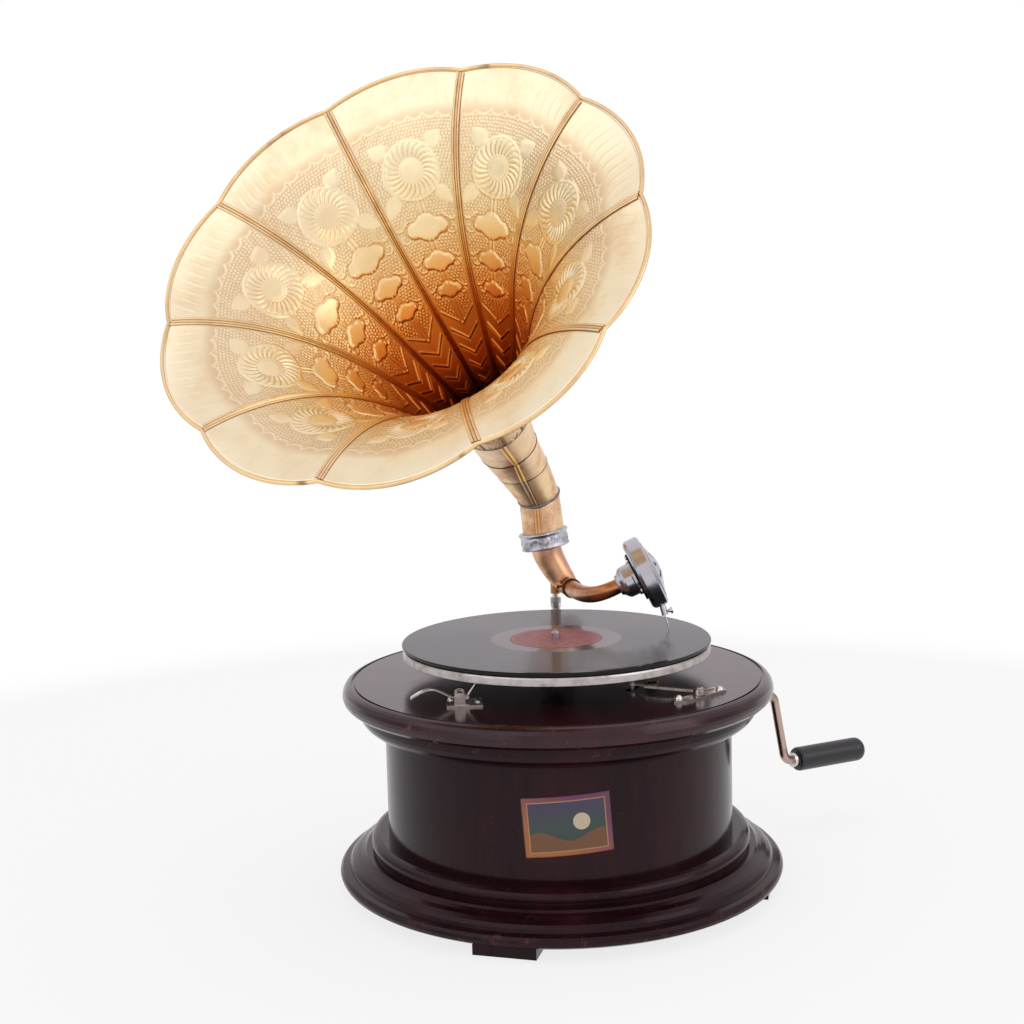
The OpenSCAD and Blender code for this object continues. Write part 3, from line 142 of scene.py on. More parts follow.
# the sheet narrows to the neck's last joint, where the bell ends
neck_depth, neck_from, neck_r = 216.5, 130.0, 29.2
pinch = np.clip((flare_line[:, 0] - neck_from) / (neck_depth - neck_from), 0, 1)
pinch_r = np.interp(neck_depth, flare_line[:, 0], flare_line[:, 1]) - neck_r
flare_line[:, 1] -= pinch_r * pinch * pinch * (3 - 2 * pinch)
flare_t, flare_line = (values[flare_line[:, 0] <= neck_depth] for values in (flare_t, flare_line))
flare_run = np.concatenate([[0], np.cumsum(np.hypot(*np.diff(flare_line, axis=0).T))])
flare_slope = np.gradient(flare_line, axis=0)
flare_slope /= np.linalg.norm(flare_slope, axis=1)[:, None]
bell_l = flare_run[-1]


def along_flare(w):
    """Depth, radius, share and slope of the bell's profile at w millimetres in from the rim."""
    w = np.asarray(w, float)
    return (np.interp(w, flare_run, flare_line[:, 0]), np.interp(w, flare_run, flare_line[:, 1]),
            np.interp(w, flare_run, flare_t), np.interp(w, flare_run, flare_slope[:, 0]),
            np.interp(w, flare_run, flare_slope[:, 1]))


def on_horn(w, turn, leaf, height):
    """Points w from the rim, turned from the leaf's middle line, and raised toward the inside."""
    depth, radius, share, slope_s, slope_r = along_flare(w)
    swell = 1 + swell_part * (1 - share) ** 2 * (1 - (turn / leaf_half) ** 2)
    az = seam_az - 2 * leaf_half * leaf + leaf_half + turn
    out = radius * swell + height * -slope_s
    down = depth + height * slope_r
    return (mouth_at - down[..., None] * horn_dir
            + out[..., None] * (np.cos(az)[..., None] * horn_a + np.sin(az)[..., None] * horn_b))


def between(first, second, share):
    """The direction part of the way from one to another."""
    angle = math.acos(first @ second)
    return (math.sin((1 - share) * angle) * first + math.sin(share * angle) * second) / math.sin(angle)


# making pieces

def settle(mesh):
    """Puts a mesh made in millimetres about the axis into the frame."""
    mesh.transform(Matrix.Translation(AXIS) @ Matrix.Scale(MM, 4))


def piece(name, mesh, body, finish, stands_for=(), sharp=35):
    """An object for a mesh in millimetres, riding on a body and standing for CAD nodes."""
    settle(mesh)
    mesh.polygons.foreach_set("use_smooth", [True] * len(mesh.polygons))
    mesh.set_sharp_from_angle(angle=math.radians(sharp))
    mesh.materials.clear()
    mesh.materials.append(finish)
    made = bpy.data.objects.new(name, mesh)
    bpy.context.scene.collection.objects.link(made)
    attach(made, body)
    if stands_for:
        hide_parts(*stands_for)
    return made


def mesh_of(shape, name):
    """A mesh from a bmesh, with doubles merged."""
    bmesh.ops.remove_doubles(shape, verts=shape.verts, dist=same_spot)
    mesh = bpy.data.meshes.new(name)
    shape.to_mesh(mesh)
    shape.free()
    return mesh


def grid(columns, rows):
    """A flat grid mesh and the share across and along of each of its vertices."""
    shape = bmesh.new()
    bmesh.ops.create_grid(shape, x_segments=columns, y_segments=rows, size=0.5)
    mesh = bpy.data.meshes.new("grid")
    shape.to_mesh(mesh)
    shape.free()
    flat = np.empty(len(mesh.vertices) * 3)
    mesh.vertices.foreach_get("co", flat)
    flat = flat.reshape(-1, 3) + 0.5
    return mesh, flat[:, 0], flat[:, 1]


def shape_mesh(mesh, points, **shares):
    """Moves a mesh's vertices to points and keeps a number for each vertex under a name."""
    mesh.vertices.foreach_set("co", np.ascontiguousarray(points, float).ravel())
    for name, values in shares.items():
        mesh.attributes.new(name, "FLOAT", "POINT").data.foreach_set("value", np.ravel(values))
    mesh.update()
    return mesh


def sweep(name, points, radii, closed=False, sides=4):
    """A round wire or tube along points."""
    curve = bpy.data.curves.new(name, "CURVE")
    curve.dimensions = "3D"
    curve.bevel_depth = 1
    curve.bevel_resolution = sides
    curve.use_fill_caps = not closed
    line = curve.splines.new("POLY")
    line.points.add(len(points) - 1)
    line.points.foreach_set("co", np.column_stack([points, np.ones(len(points))]).ravel())
    line.points.foreach_set("radius", np.broadcast_to(radii, len(points)).ravel())
    line.use_cyclic_u = closed
    holder = bpy.data.objects.new(name, curve)
    mesh = bpy.data.meshes.new_from_object(holder)
    bpy.data.objects.remove(holder)
    bpy.data.curves.remove(curve)
    shape = bmesh.new()
    shape.from_mesh(mesh)
    bpy.data.meshes.remove(mesh)
    bmesh.ops.recalc_face_normals(shape, faces=shape.faces)
    return mesh_of(shape, name)


def sealed(mesh, name, fill=False):
    """A mesh with its ends merged, its holes filled where asked, and its faces outwards."""
    shape = bmesh.new()
    shape.from_mesh(mesh)
    bpy.data.meshes.remove(mesh)
    bmesh.ops.remove_doubles(shape, verts=shape.verts, dist=same_seam)
    if fill:
        bmesh.ops.holes_fill(shape, edges=[edge for edge in shape.edges if edge.is_boundary])
    bmesh.ops.recalc_face_normals(shape, faces=shape.faces)
    return mesh_of(shape, name)


def give_wall(made, name, thick, back=None):
    """Thickens a sheet behind its drawn side, and gives its back a finish of its own."""
    wall = made.modifiers.new(name, "SOLIDIFY")
    wall.thickness = thick * MM
    wall.offset = -1
    if back:
        made.data.materials.append(back)
        wall.material_offset = 1


# node helpers

def put(tree, socket, value):
    """Links a node's output to a socket, or sets the socket to a plain value."""
    if isinstance(value, bpy.types.NodeSocket):
        tree.links.new(value, socket)
    else:
        socket.default_value = value


def add(tree, kind, _out=0, _settings=None, **values):
    """Adds a node, sets or links its inputs by name, and returns one of its outputs."""
    made = tree.nodes.new(kind)
    for key, value in (_settings or {}).items():
        setattr(made, key, value)
    for key, value in values.items():
        socket = int(key[1:]) if key[1:].isdigit() else key.replace("_", " ")
        put(tree, made.inputs[socket], value)
    return made.outputs[_out]


def maths(tree, operation, first, second=0.0, clamp=False):
    """The result of a sum on one or two numbers."""
    return add(tree, "ShaderNodeMath", 0, {"operation": operation, "use_clamp": clamp}, _0=first, _1=second)


def product(tree, first, second):
    """One number times another."""
    return maths(tree, "MULTIPLY", first, second)


def total(tree, first, second):
    """One number and another."""
    return maths(tree, "ADD", first, second)


def less(tree, first, second):
    """One number less another."""
    return maths(tree, "SUBTRACT", first, second)


def hypotenuse(tree, x, y):
    """The long side of a right angle's two sides."""
    return maths(tree, "SQRT", total(tree, product(tree, x, x), product(tree, y, y)))


def blend(tree, share, first, second):
    """A mix of two colours by a share."""
    return add(tree, "ShaderNodeMix", 2, {"data_type": "RGBA"}, _0=share, _6=first, _7=second)


def fade(tree, value, low, high, first=0.0, second=1.0):
    """A smooth step from first to second as a value goes from low to high."""
    return add(tree, "ShaderNodeMapRange", 0, {"interpolation_type": "SMOOTHSTEP"},
               Value=value, From_Min=low, From_Max=high, To_Min=first, To_Max=second)


def ramp(tree, value, stops):
    """Colours along a value."""
    made = tree.nodes.new("ShaderNodeValToRGB")
    band = made.color_ramp
    while len(band.elements) < len(stops):
        band.elements.new(0.5)
    for element, (place, colour) in zip(band.elements, stops):
        element.position = place
        element.color = colour
    tree.links.new(value, made.inputs[0])
    return made.outputs[0]


def attribute(tree, name):
    """The number that a mesh keeps for each vertex under a name."""
    return add(tree, "ShaderNodeAttribute", "Fac", {"attribute_name": name})


def place_on(tree, scale=(1, 1, 1)):
    """The piece's own place, stretched, for a pattern to read."""
    spot = add(tree, "ShaderNodeTexCoord", "Object")
    return add(tree, "ShaderNodeMapping", 0, None, Vector=spot, Scale=scale)


def about_axis(tree):
    """The three sides of the piece's own place, measured from the cabinet's axis."""
    spot = add(tree, "ShaderNodeTexCoord", "Object")
    flat = add(tree, "ShaderNodeVectorMath", 0, {"operation": "SUBTRACT"}, _0=spot, _1=tuple(AXIS))
    parts = tree.nodes.new("ShaderNodeSeparateXYZ")
    tree.links.new(flat, parts.inputs[0])
    return parts.outputs


def axis_spot(tree):
    """Distance from the cabinet's axis in millimetres, and the turn about it in turns."""
    x, y = about_axis(tree)[:2]
    turn = maths(tree, "DIVIDE", maths(tree, "ARCTAN2", y, x), math.tau)
    return maths(tree, "DIVIDE", hypotenuse(tree, x, y), MM), turn


def cloud(tree, spot, scale, detail=4.0, rough=0.6):
    """A soft random pattern from 0 to 1."""
    return add(tree, "ShaderNodeTexNoise", 0, None, Vector=spot, Scale=scale, Detail=detail, Roughness=rough)


def tint(r, g, b):
    """A colour as it looks on a screen, from 0 to 255, as a shader writes it."""
    def plain(c):
        c /= 255
        return c / 12.92 if c <= 0.04045 else ((c + 0.055) / 1.055) ** 2.4
    return (plain(r), plain(g), plain(b), 1)


def group(name, inputs, outputs):
    """A new shader group with its named inputs and outputs."""
    tree = bpy.data.node_groups.new(name, "ShaderNodeTree")
    kinds = {"value": "NodeSocketFloat", "colour": "NodeSocketColor"}
    for label, kind, start in inputs:
        tree.interface.new_socket(label, in_out="INPUT", socket_type=kinds[kind]).default_value = start
    for label, kind in outputs:
        tree.interface.new_socket(label, in_out="OUTPUT", socket_type=kinds[kind])
    return tree, tree.nodes.new("NodeGroupInput").outputs, tree.nodes.new("NodeGroupOutput").inputs


def use(tree, made_group, **values):
    """Places a group in a material and returns its outputs."""
    made = tree.nodes.new("ShaderNodeGroup")
    made.node_tree = made_group
    for key, value in values.items():
        put(tree, made.inputs[key.replace("_", " ")], value)
    return made.outputs


def finish(name, **settings):
    """A new material with its shader, and the shader's uniform values."""
    made = bpy.data.materials.new(name)
    made.use_nodes = True
    shader = made.node_tree.nodes["Principled BSDF"]
    for key, value in settings.items():
        shader.inputs[key.replace("_", " ")].default_value = value
    return made, made.node_tree, shader


def feed(tree, shader, bump=0.1, distance=0.0004, **values):
    """Links patterns to the shader's sockets; Height goes through a bump."""
    height = values.pop("Height", None)
    for key, value in values.items():
        tree.links.new(value, shader.inputs[key.replace("_", " ")])
    if height is not None:
        relief = add(tree, "ShaderNodeBump", 0, None, Height=height, Strength=bump, Distance=distance)
        tree.links.new(relief, shader.inputs["Normal"])


# shared effects

def patina_group():
    """Tarnish in soft clouds and small specks over a metal, with a rougher skin where it lies."""
    tree, ins, outs = group("patina", [
        ("Metal", "colour", (0.8, 0.8, 0.8, 1)), ("Tarnish", "colour", (0.2, 0.15, 0.1, 1)),
        ("Clouds", "value", 0.3), ("Specks", "value", 0.2), ("Size", "value", 40.0),
        ("Polish", "value", 0.25)],
        [("Color", "colour"), ("Roughness", "value"), ("Height", "value")])
    spot = place_on(tree)
    soft = cloud(tree, spot, ins["Size"], 6.0, 0.65)
    clouds = product(tree, fade(tree, soft, 0.42, 0.78), ins["Clouds"])
    fine = cloud(tree, spot, product(tree, ins["Size"], 9.0), 3.0, 0.7)
    specks = product(tree, fade(tree, fine, 0.64, 0.74), ins["Specks"])
    cover = maths(tree, "ADD", clouds, specks, clamp=True)
    tree.links.new(blend(tree, cover, ins["Metal"], ins["Tarnish"]), outs["Color"])
    skin = product(tree, cloud(tree, spot, product(tree, ins["Size"], 3.0)), 0.12)
    dull = product(tree, cover, 0.3)
    tree.links.new(total(tree, total(tree, ins["Polish"], skin), dull), outs["Roughness"])
    tree.links.new(less(tree, fine, cover), outs["Height"])
    return tree


def band_group():
    """One inside a ring about the cabinet's axis between two radii and two heights, in millimetres."""
    tree, ins, outs = group("band about the axis", [
        ("Radius", "value", 100.0), ("Wide", "value", 1.0), ("Height", "value", 100.0),
        ("Tall", "value", 1.0)], [("Mask", "value")])
    x, y, z = about_axis(tree)
    span = maths(tree, "DIVIDE", hypotenuse(tree, x, y), MM)
    off_r = maths(tree, "ABSOLUTE", less(tree, span, ins["Radius"]))
    off_z = maths(tree, "ABSOLUTE", less(tree, maths(tree, "DIVIDE", z, MM), ins["Height"]))
    near = maths(tree, "MAXIMUM", maths(tree, "DIVIDE", off_r, ins["Wide"]),
                 maths(tree, "DIVIDE", off_z, ins["Tall"]))
    tree.links.new(fade(tree, near, 0.5, 1.0, 1.0, 0.0), outs["Mask"])
    return tree


patina = patina_group()
ring_band = band_group()


# finishes

def wear(tree, shader, bump, colour, tarnish, clouds, specks, size, polish):
    """Lays patina over a metal's colour, and feeds the shader with it."""
    skin = use(tree, patina, Metal=colour, Tarnish=tarnish, Clouds=clouds, Specks=specks, Size=size,
               Polish=polish)
    feed(tree, shader, bump, Base_Color=skin["Color"], Roughness=skin["Roughness"], Height=skin["Height"])


def metal(name, colour, tarnish, clouds, specks, size, polish, bump=0.06):
    """A metal with wear and tarnish."""
    made, tree, shader = finish(name, Metallic=1.0)
    wear(tree, shader, bump, colour, tarnish, clouds, specks, size, polish)
    return made


def bell_brass():
    """Horn brass: pale and bright at the rim; painted shade and bounced light turn it orange, then brown
    toward the throat, and shade its low ground.
    """
    made, tree, shader = finish("bell_brass", Metallic=1.0)
    depth = attribute(tree, "depth")
    relief = attribute(tree, "relief")
    spot = place_on(tree)
    clouds = cloud(tree, spot, 14.0, 5.0, 0.6)
    # painted shade and bounced light: by depth the colour turns from pale at the rim to deep orange and then
    # brown at the throat
    shade_depth = total(tree, depth, product(tree, less(tree, clouds, 0.5), 0.12))
    base = ramp(tree, shade_depth, [
        (0.0, tint(244, 234, 200)), (0.22, tint(247, 231, 188)), (0.45, tint(252, 224, 170)),
        (0.64, tint(252, 200, 130)), (0.84, tint(226, 148, 82)), (1.0, tint(142, 84, 46))])
    # painted shade: the low ground and hollows between the raised ornament are darkened toward brown, beyond
    # the rim band
    hollow = fade(tree, relief, -0.15, 0.35, 1.0, 0.0)
    hollow_shade = product(tree, product(tree, hollow, fade(tree, depth, 0.09, 0.13)), 0.46)
    shaded = blend(tree, hollow_shade, base, tint(186, 126, 66))
    strokes = product(tree, fade(tree, relief, 0.12, 0.4), fade(tree, depth, 0.09, 0.12, 0.42, 0.0))
    shaded = blend(tree, strokes, shaded, tint(206, 166, 112))
    wear(tree, shader, 0.05, shaded, tint(214, 164, 92), 0.34, 0.16, 22.0, 0.25)
    return made


def back_brass(name, along_name, bright, drawn, stain):
    """Outside of the horn: dull pale brass with brown stains and long drawn streaks."""
    made, tree, shader = finish(name, Metallic=0.8)
    spot = place_on(tree)
    along = attribute(tree, along_name)
    lit = attribute(tree, "gold")
    dark = attribute(tree, "dark")
    stains = fade(tree, cloud(tree, spot, 22.0, 7.0, 0.7), 0.48, 0.7)
    lines = fade(tree, cloud(tree, place_on(tree, (1, 1, 0.2)), 90.0, 5.0, 0.7), 0.5, 0.75)
    pale = blend(tree, product(tree, lines, 0.4), bright, drawn)
    base = blend(tree, product(tree, stains, 0.68), pale, stain)
    base = blend(tree, product(tree, along, 0.25), base, tint(226, 188, 148))
    base = blend(tree, lit, base, tint(252, 190, 92))
    base = blend(tree, product(tree, dark, 0.85), base, tint(84, 52, 36))
    wear(tree, shader, 0.12, base, tint(140, 94, 64), 0.22, 0.2, 30.0, 0.36)
    return made


def seam_brass():
    """Seam brass: bright ridges over a groove in painted shade, and painted shade that browns it toward the
    throat.
    """
    made, tree, shader = finish("seam_brass", Metallic=1.0)
    depth = attribute(tree, "depth")
    relief = attribute(tree, "relief")
    # painted shade and bounced light: by depth the seam turns from pale at the rim to orange and brown at the
    # throat
    bright = ramp(tree, depth, [
        (0.0, tint(244, 218, 172)), (0.4, tint(236, 196, 132)), (0.7, tint(216, 146, 82)),
        (1.0, tint(130, 70, 36))])
    # painted shade in the groove between the ridges
    groove = fade(tree, relief, 0.2, 0.8, 0.9, 0.0)
    shaded = blend(tree, groove, bright, tint(150, 92, 46))
    wear(tree, shader, 0.05, shaded, tint(140, 84, 44), 0.35, 0.2, 60.0, 0.26)
    return made


def rim_brass():
    """Rim brass: pale, with dark lengths of wear."""
    made, tree, shader = finish("rim_brass", Metallic=1.0)
    spot = place_on(tree)
    dark = fade(tree, cloud(tree, spot, 17.0, 3.0, 0.6), 0.6, 0.66)
    base = blend(tree, product(tree, dark, 0.75), tint(240, 208, 156), tint(112, 68, 40))
    wear(tree, shader, 0.05, base, tint(120, 74, 40), 0.25, 0.2, 40.0, 0.24)
    return made


def lacquer(name, gloss, dark, red):
    """Dark burgundy lacquer over wood, with brown scuffs on the turned edges."""
    made, tree, shader = finish(name, Coat_Weight=0.06, Coat_Roughness=0.06, Specular_IOR_Level=gloss,
                                Specular_Tint=(1.0, 0.84, 0.92, 1))
    spot = place_on(tree)
    mottle = cloud(tree, place_on(tree, (1, 1, 0.25)), 26.0, 6.0, 0.7)
    streak = cloud(tree, place_on(tree, (1, 1, 0.06)), 160.0, 4.0, 0.6)
    deep = blend(tree, fade(tree, mottle, 0.4, 0.72), dark, red)
    grain = blend(tree, fade(tree, streak, 0.5, 0.75, 0.0, 0.5), deep, tint(52, 20, 18))
    edges = None
    for radius, wide, height, tall in edge_bands():
        band = use(tree, ring_band, Radius=radius, Wide=wide, Height=height, Tall=tall)["Mask"]
        edges = band if edges is None else maths(tree, "MAXIMUM", edges, band)
    chips = fade(tree, cloud(tree, spot, 70.0, 8.0, 0.75), 0.56, 0.66)
    scuff = product(tree, edges, chips)
    coat = blend(tree, product(tree, scuff, 0.6), grain, tint(104, 64, 50))
    dust = fade(tree, cloud(tree, spot, 420.0, 2.0, 0.5), 0.68, 0.76)
    coat = blend(tree, product(tree, dust, 0.12), coat, tint(150, 120, 110))
    rough = total(tree, product(tree, cloud(tree, spot, 60.0, 5.0), 0.12), 0.12)
    rough = total(tree, rough, product(tree, scuff, 0.25))
    height = total(tree, cloud(tree, spot, 110.0, 3.0), product(tree, scuff, -0.5))
    feed(tree, shader, 0.05, 0.0005, Base_Color=coat, Roughness=rough, Height=height)
    return made


def edge_bands():
    """Radius, width, height and depth of the cabinet's scuffed edges, from the frame."""
    board_r, board_top, board_foot = reach_of("top_board"), top_of("top_board"), foot_of("top_board")
    base_r, base_top = reach_of("base_moulding"), top_of("base_moulding")
    return [
        (board_r, 7, (board_top + board_foot) / 2, 11),
        (board_r - 8.6, 2.5, board_top, 4),
        (reach_of("cornice"), 4, foot_of("cornice") + 15, 6),
        (base_r, 6, foot_of("base_moulding") + 7, 12),
        (base_r - 16, 4, base_top - 10, 4),
    ]


groove_pitch = 0.55
runout_r = 53


def shellac():
    """Record: fine grooves, bands where the music is louder, a smooth run-out and a smooth edge."""
    made, tree, shader = finish("record_shellac", Specular_IOR_Level=0.2)
    span = axis_spot(tree)[0]
    edge = reach_of("record")
    wave = maths(tree, "SINE", product(tree, span, math.tau / groove_pitch))
    cut = product(tree, fade(tree, span, runout_r - 0.5, runout_r + 0.5),
                fade(tree, span, edge - 5, edge - 4, 1.0, 0.0))
    rings = add(tree, "ShaderNodeTexNoise", 0, {"noise_dimensions": "1D"},
                W=product(tree, span, 0.35), Scale=1.0, Detail=6.0, Roughness=0.8)
    shade = blend(tree, fade(tree, rings, 0.35, 0.7), tint(8, 7, 9), tint(44, 37, 42))
    plain = fade(tree, span, runout_r - 0.6, runout_r + 0.4, 1.0, 0.0)
    shade = blend(tree, plain, shade, tint(112, 100, 108))
    dust = fade(tree, cloud(tree, place_on(tree), 300.0, 2.0), 0.66, 0.75)
    shade = blend(tree, product(tree, dust, 0.2), shade, tint(120, 116, 110))
    rough = total(tree, product(tree, rings, 0.16), 0.04)
    height = product(tree, wave, cut)
    feed(tree, shader, 0.2, 0.00005, Base_Color=shade, Roughness=rough, Height=height)
    return made


def paper_label():
    """Record label: dusty red paper with a paler printed ring, a faint paler star and darker scuffs."""
    made, tree, shader = finish("label_paper", Roughness=0.42)
    span, turn = axis_spot(tree)
    fibres = cloud(tree, place_on(tree), 240.0, 5.0, 0.7)
    red = blend(tree, fade(tree, fibres, 0.35, 0.7), tint(140, 68, 76), tint(164, 94, 98))
    ring = product(tree, fade(tree, span, 34.0, 34.4), fade(tree, span, 35.2, 35.6, 1.0, 0.0))
    red = blend(tree, product(tree, ring, 0.45), red, tint(190, 146, 110))
    rays = maths(tree, "SINE", product(tree, turn, math.tau * 16))
    belt = product(tree, fade(tree, span, 14.0, 15.0), fade(tree, span, 27.0, 28.0, 1.0, 0.0))
    star = product(tree, belt, fade(tree, rays, 0.1, 0.4))
    red = blend(tree, product(tree, star, 0.2), red, tint(190, 140, 110))
    scuffs = fade(tree, cloud(tree, place_on(tree), 70.0, 6.0, 0.8), 0.56, 0.7)
    red = blend(tree, product(tree, scuffs, 0.5), red, tint(96, 58, 52))
    feed(tree, shader, 0.3, 0.0001, Base_Color=red, Height=fibres)
    return made


def felt():
    """Mat felt: short dark fibres."""
    made, tree, shader = finish("mat_felt", Roughness=0.95, Sheen_Weight=0.3)
    fibres = cloud(tree, place_on(tree), 900.0, 4.0, 0.8)
    colour = blend(tree, fibres, tint(24, 40, 30), tint(58, 74, 60))
    feed(tree, shader, 0.6, 0.0003, Base_Color=colour, Height=fibres)
    return made


def ebonite():
    """Grip: matte black with fine handling marks."""
    made, tree, shader = finish("grip_black", Specular_IOR_Level=0.55)
    marks = cloud(tree, place_on(tree), 180.0, 6.0, 0.75)
    colour = blend(tree, fade(tree, marks, 0.45, 0.75), tint(22, 20, 26), tint(44, 40, 50))
    rough = total(tree, product(tree, marks, 0.25), 0.24)
    feed(tree, shader, 0.15, 0.0002, Base_Color=colour, Roughness=rough, Height=marks)
    return made


def rubber():
    """Gasket rubber: black, dull, slightly grained."""
    made, tree, shader = finish("gasket_rubber", Specular_IOR_Level=0.3)
    grain = cloud(tree, place_on(tree), 500.0, 4.0)
    colour = blend(tree, grain, tint(16, 15, 15), tint(40, 38, 36))
    rough = total(tree, product(tree, grain, 0.2), 0.55)
    feed(tree, shader, 0.3, 0.0001, Base_Color=colour, Roughness=rough, Height=grain)
    return made


def mica():
    """Diaphragm mica: thin, pale amber, in faint flakes."""
    made, tree, shader = finish("diaphragm_mica", Coat_Weight=0.4)
    flakes = add(tree, "ShaderNodeTexVoronoi", "Color", None, Vector=place_on(tree), Scale=260.0)
    colour = blend(tree, flakes, tint(196, 178, 142), tint(228, 216, 188))
    rough = total(tree, product(tree, flakes, 0.1), 0.2)
    feed(tree, shader, 0.1, 0.00005, Base_Color=colour, Roughness=rough, Height=flakes)
    return made


# each metal's colour and tarnish as a screen shows them, the shares of clouds and specks in it, how fine
# these are, the roughness of its polish, and its bump where that isn't the usual one
metals = {
    "nickel_trim": ((220, 210, 202), (84, 68, 58), 0.6, 0.3, 120.0, 0.14),
    "crank_nickel": ((190, 166, 154), (88, 66, 56), 0.5, 0.25, 60.0, 0.22),
    # painted shade: the platter is made near black for the shade it lies in under and around the mat
    "platter_shade": ((52, 50, 52), (30, 24, 22), 0.5, 0.3, 60.0, 0.45),
    "bright_trim": ((226, 224, 220), (122, 110, 98), 0.3, 0.3, 80.0, 0.18),
    "gear_brass": ((214, 176, 104), (110, 80, 40), 0.4, 0.3, 50.0, 0.3),
    "aged_bolt": ((150, 122, 84), (74, 54, 38), 0.6, 0.5, 90.0, 0.36),
    "motor_steel": ((176, 176, 178), (92, 86, 80), 0.4, 0.3, 50.0, 0.34),
    "spring_steel": ((150, 150, 156), (80, 72, 70), 0.3, 0.3, 70.0, 0.28),
    "platter_nickel": ((196, 190, 188), (104, 72, 54), 0.55, 0.8, 90.0, 0.26),
    "arm_copper": ((192, 132, 86), (98, 58, 34), 0.5, 0.3, 55.0, 0.24),
    "swan_brass": ((228, 180, 142), (158, 104, 72), 0.6, 0.35, 60.0, 0.3, 0.3),
    "collar_metal": ((206, 206, 214), (86, 88, 98), 0.75, 0.6, 110.0, 0.3, 0.5),
    "dark_joint": ((92, 66, 50), (40, 28, 22), 0.5, 0.4, 90.0, 0.4),
    "box_chrome": ((188, 188, 194), (120, 118, 120), 0.2, 0.12, 40.0, 0.15),
    "needle_steel": ((206, 208, 214), (120, 120, 124), 0.1, 0.1, 40.0, 0.16),
    "horn_brass": ((222, 172, 108), (132, 84, 44), 0.5, 0.3, 26.0, 0.26),
    "neck_inside": ((92, 48, 26), (30, 16, 10), 0.7, 0.4, 40.0, 0.5),
    "solder_grey": ((142, 142, 150), (66, 62, 66), 0.7, 0.5, 110.0, 0.42, 0.4),
    "thin_joint": ((88, 66, 56), (44, 32, 28), 0.5, 0.4, 120.0, 0.42, 0.2),
}
finishes = {
    name: metal(name, tint(*colour), tint(*tarnish), *values)
    for name, (colour, tarnish, *values) in metals.items()}
finishes.update({
    "cabinet_wood": lacquer("cabinet_lacquer", 0.17, tint(30, 10, 15), tint(50, 18, 23)),
    "board_wood": lacquer("board_lacquer", 0.4, tint(34, 10, 14), tint(58, 20, 24)),
    "mat_felt": felt(),
    "record_shellac": shellac(),
    "label_paper": paper_label(),
    "grip_black": ebonite(),
    "gasket_rubber": rubber(),
    "diaphragm_mica": mica(),
    "bell": bell_brass(),
    "seam": seam_brass(),
    "rim": rim_brass(),
    "bell_back": back_brass(
        "bell_back", "depth", tint(250, 216, 170), tint(222, 160, 108), tint(190, 120, 76)),
    "neck": back_brass(
        "neck_brass", "relief", tint(255, 222, 178), tint(214, 150, 102), tint(168, 82, 44)),
})

# the platter takes a dark finish that paints the shade it lies in
own_finishes = {"top_board": "board_wood", "platter": "platter_shade", "crank_rod": "crank_nickel"}
for node, part in nodes.items():
    for holder in part.material_slots:
        if holder.material and holder.material.name in finishes:
            holder.material = finishes[own_finishes.get(node, holder.material.name)]


# the horn's pressed ornament, in millimetres across (x) and in from the rim (w)

crescent_pitch = 8.4
crescent_w = (5.0, 29.0)
lobe_w = 33.0
lobe_pitch = 12.5
dot_pitch = 2.9
rosette_w = 74.5
rosette_r = 22.5
petals = 24
eye_r = 9.0
bud_l = 17.0
bud_half = 6.2
cartouches = [(119.5, 17.0, 9.6), (148.0, 12.6, 7.6), (173.5, 9.8, 6.4)]
point_w = 206.0
chevron_pitch = 14.5
chevrons = 7


def ridge(distance, wide, high=1.0):
    """A rounded raised line where a distance is near zero."""
    return high * np.exp(-(distance / (0.5 * wide)) ** 2)


def bump_to(distance, soft):
    """One inside an outline (negative distance) and zero outside, with a soft edge."""
    return 1 / (1 + np.exp(np.clip(distance / (0.25 * soft), -30, 30)))


def dots(x, w):
    """Staggered round beads."""
    row = dot_pitch * 0.87
    line = np.round(w / row)
    shift = np.where(line % 2 == 0, 0, dot_pitch / 2)
    spot = np.round((x + shift) / dot_pitch)
    dx = (x + shift) - dot_pitch * spot + 0.3 * np.sin(12.9 * spot + 78.2 * line)
    dw = w - line * row + 0.25 * np.sin(39.3 * spot + 11.1 * line)
    return (1 + 0.2 * np.sin(7.7 * spot + 5.3 * line)) * np.exp(-(dx * dx + dw * dw) / (0.85 ** 2))


def blob(x, w, at, half_x, half_w):
    """Rough distance outside a cartouche with an ogee at each end and a waist on each side."""
    u, v = np.abs(x) / half_x, np.abs(w - at) / half_w
    lobes = np.hypot(u * 1.06, v * (0.92 + 0.30 * np.exp(-(u - 0.55) ** 2 / 0.03) + 0.12 * u)) - 1
    return lobes * half_w


def crescents(x, w):
    """Nested curved strokes along the rim, deepest at their inner ends."""
    low, high = crescent_w
    share = np.clip((w - low) / (high - low), 0, 1)
    bow = x - 6.0 * share ** 2 + 7.5 * share ** 6 + 2.0
    stroke = bow - crescent_pitch * np.round(bow / crescent_pitch)
    inside = np.where((w > low) & (w < high), np.sin(np.pi * share) ** 0.5, 0)
    strokes = 0.26 * np.exp(-stroke ** 2) - 0.12 * np.exp(-((stroke - 1.9) / 1.3) ** 2)
    return inside * strokes * (0.25 + 0.75 * share)


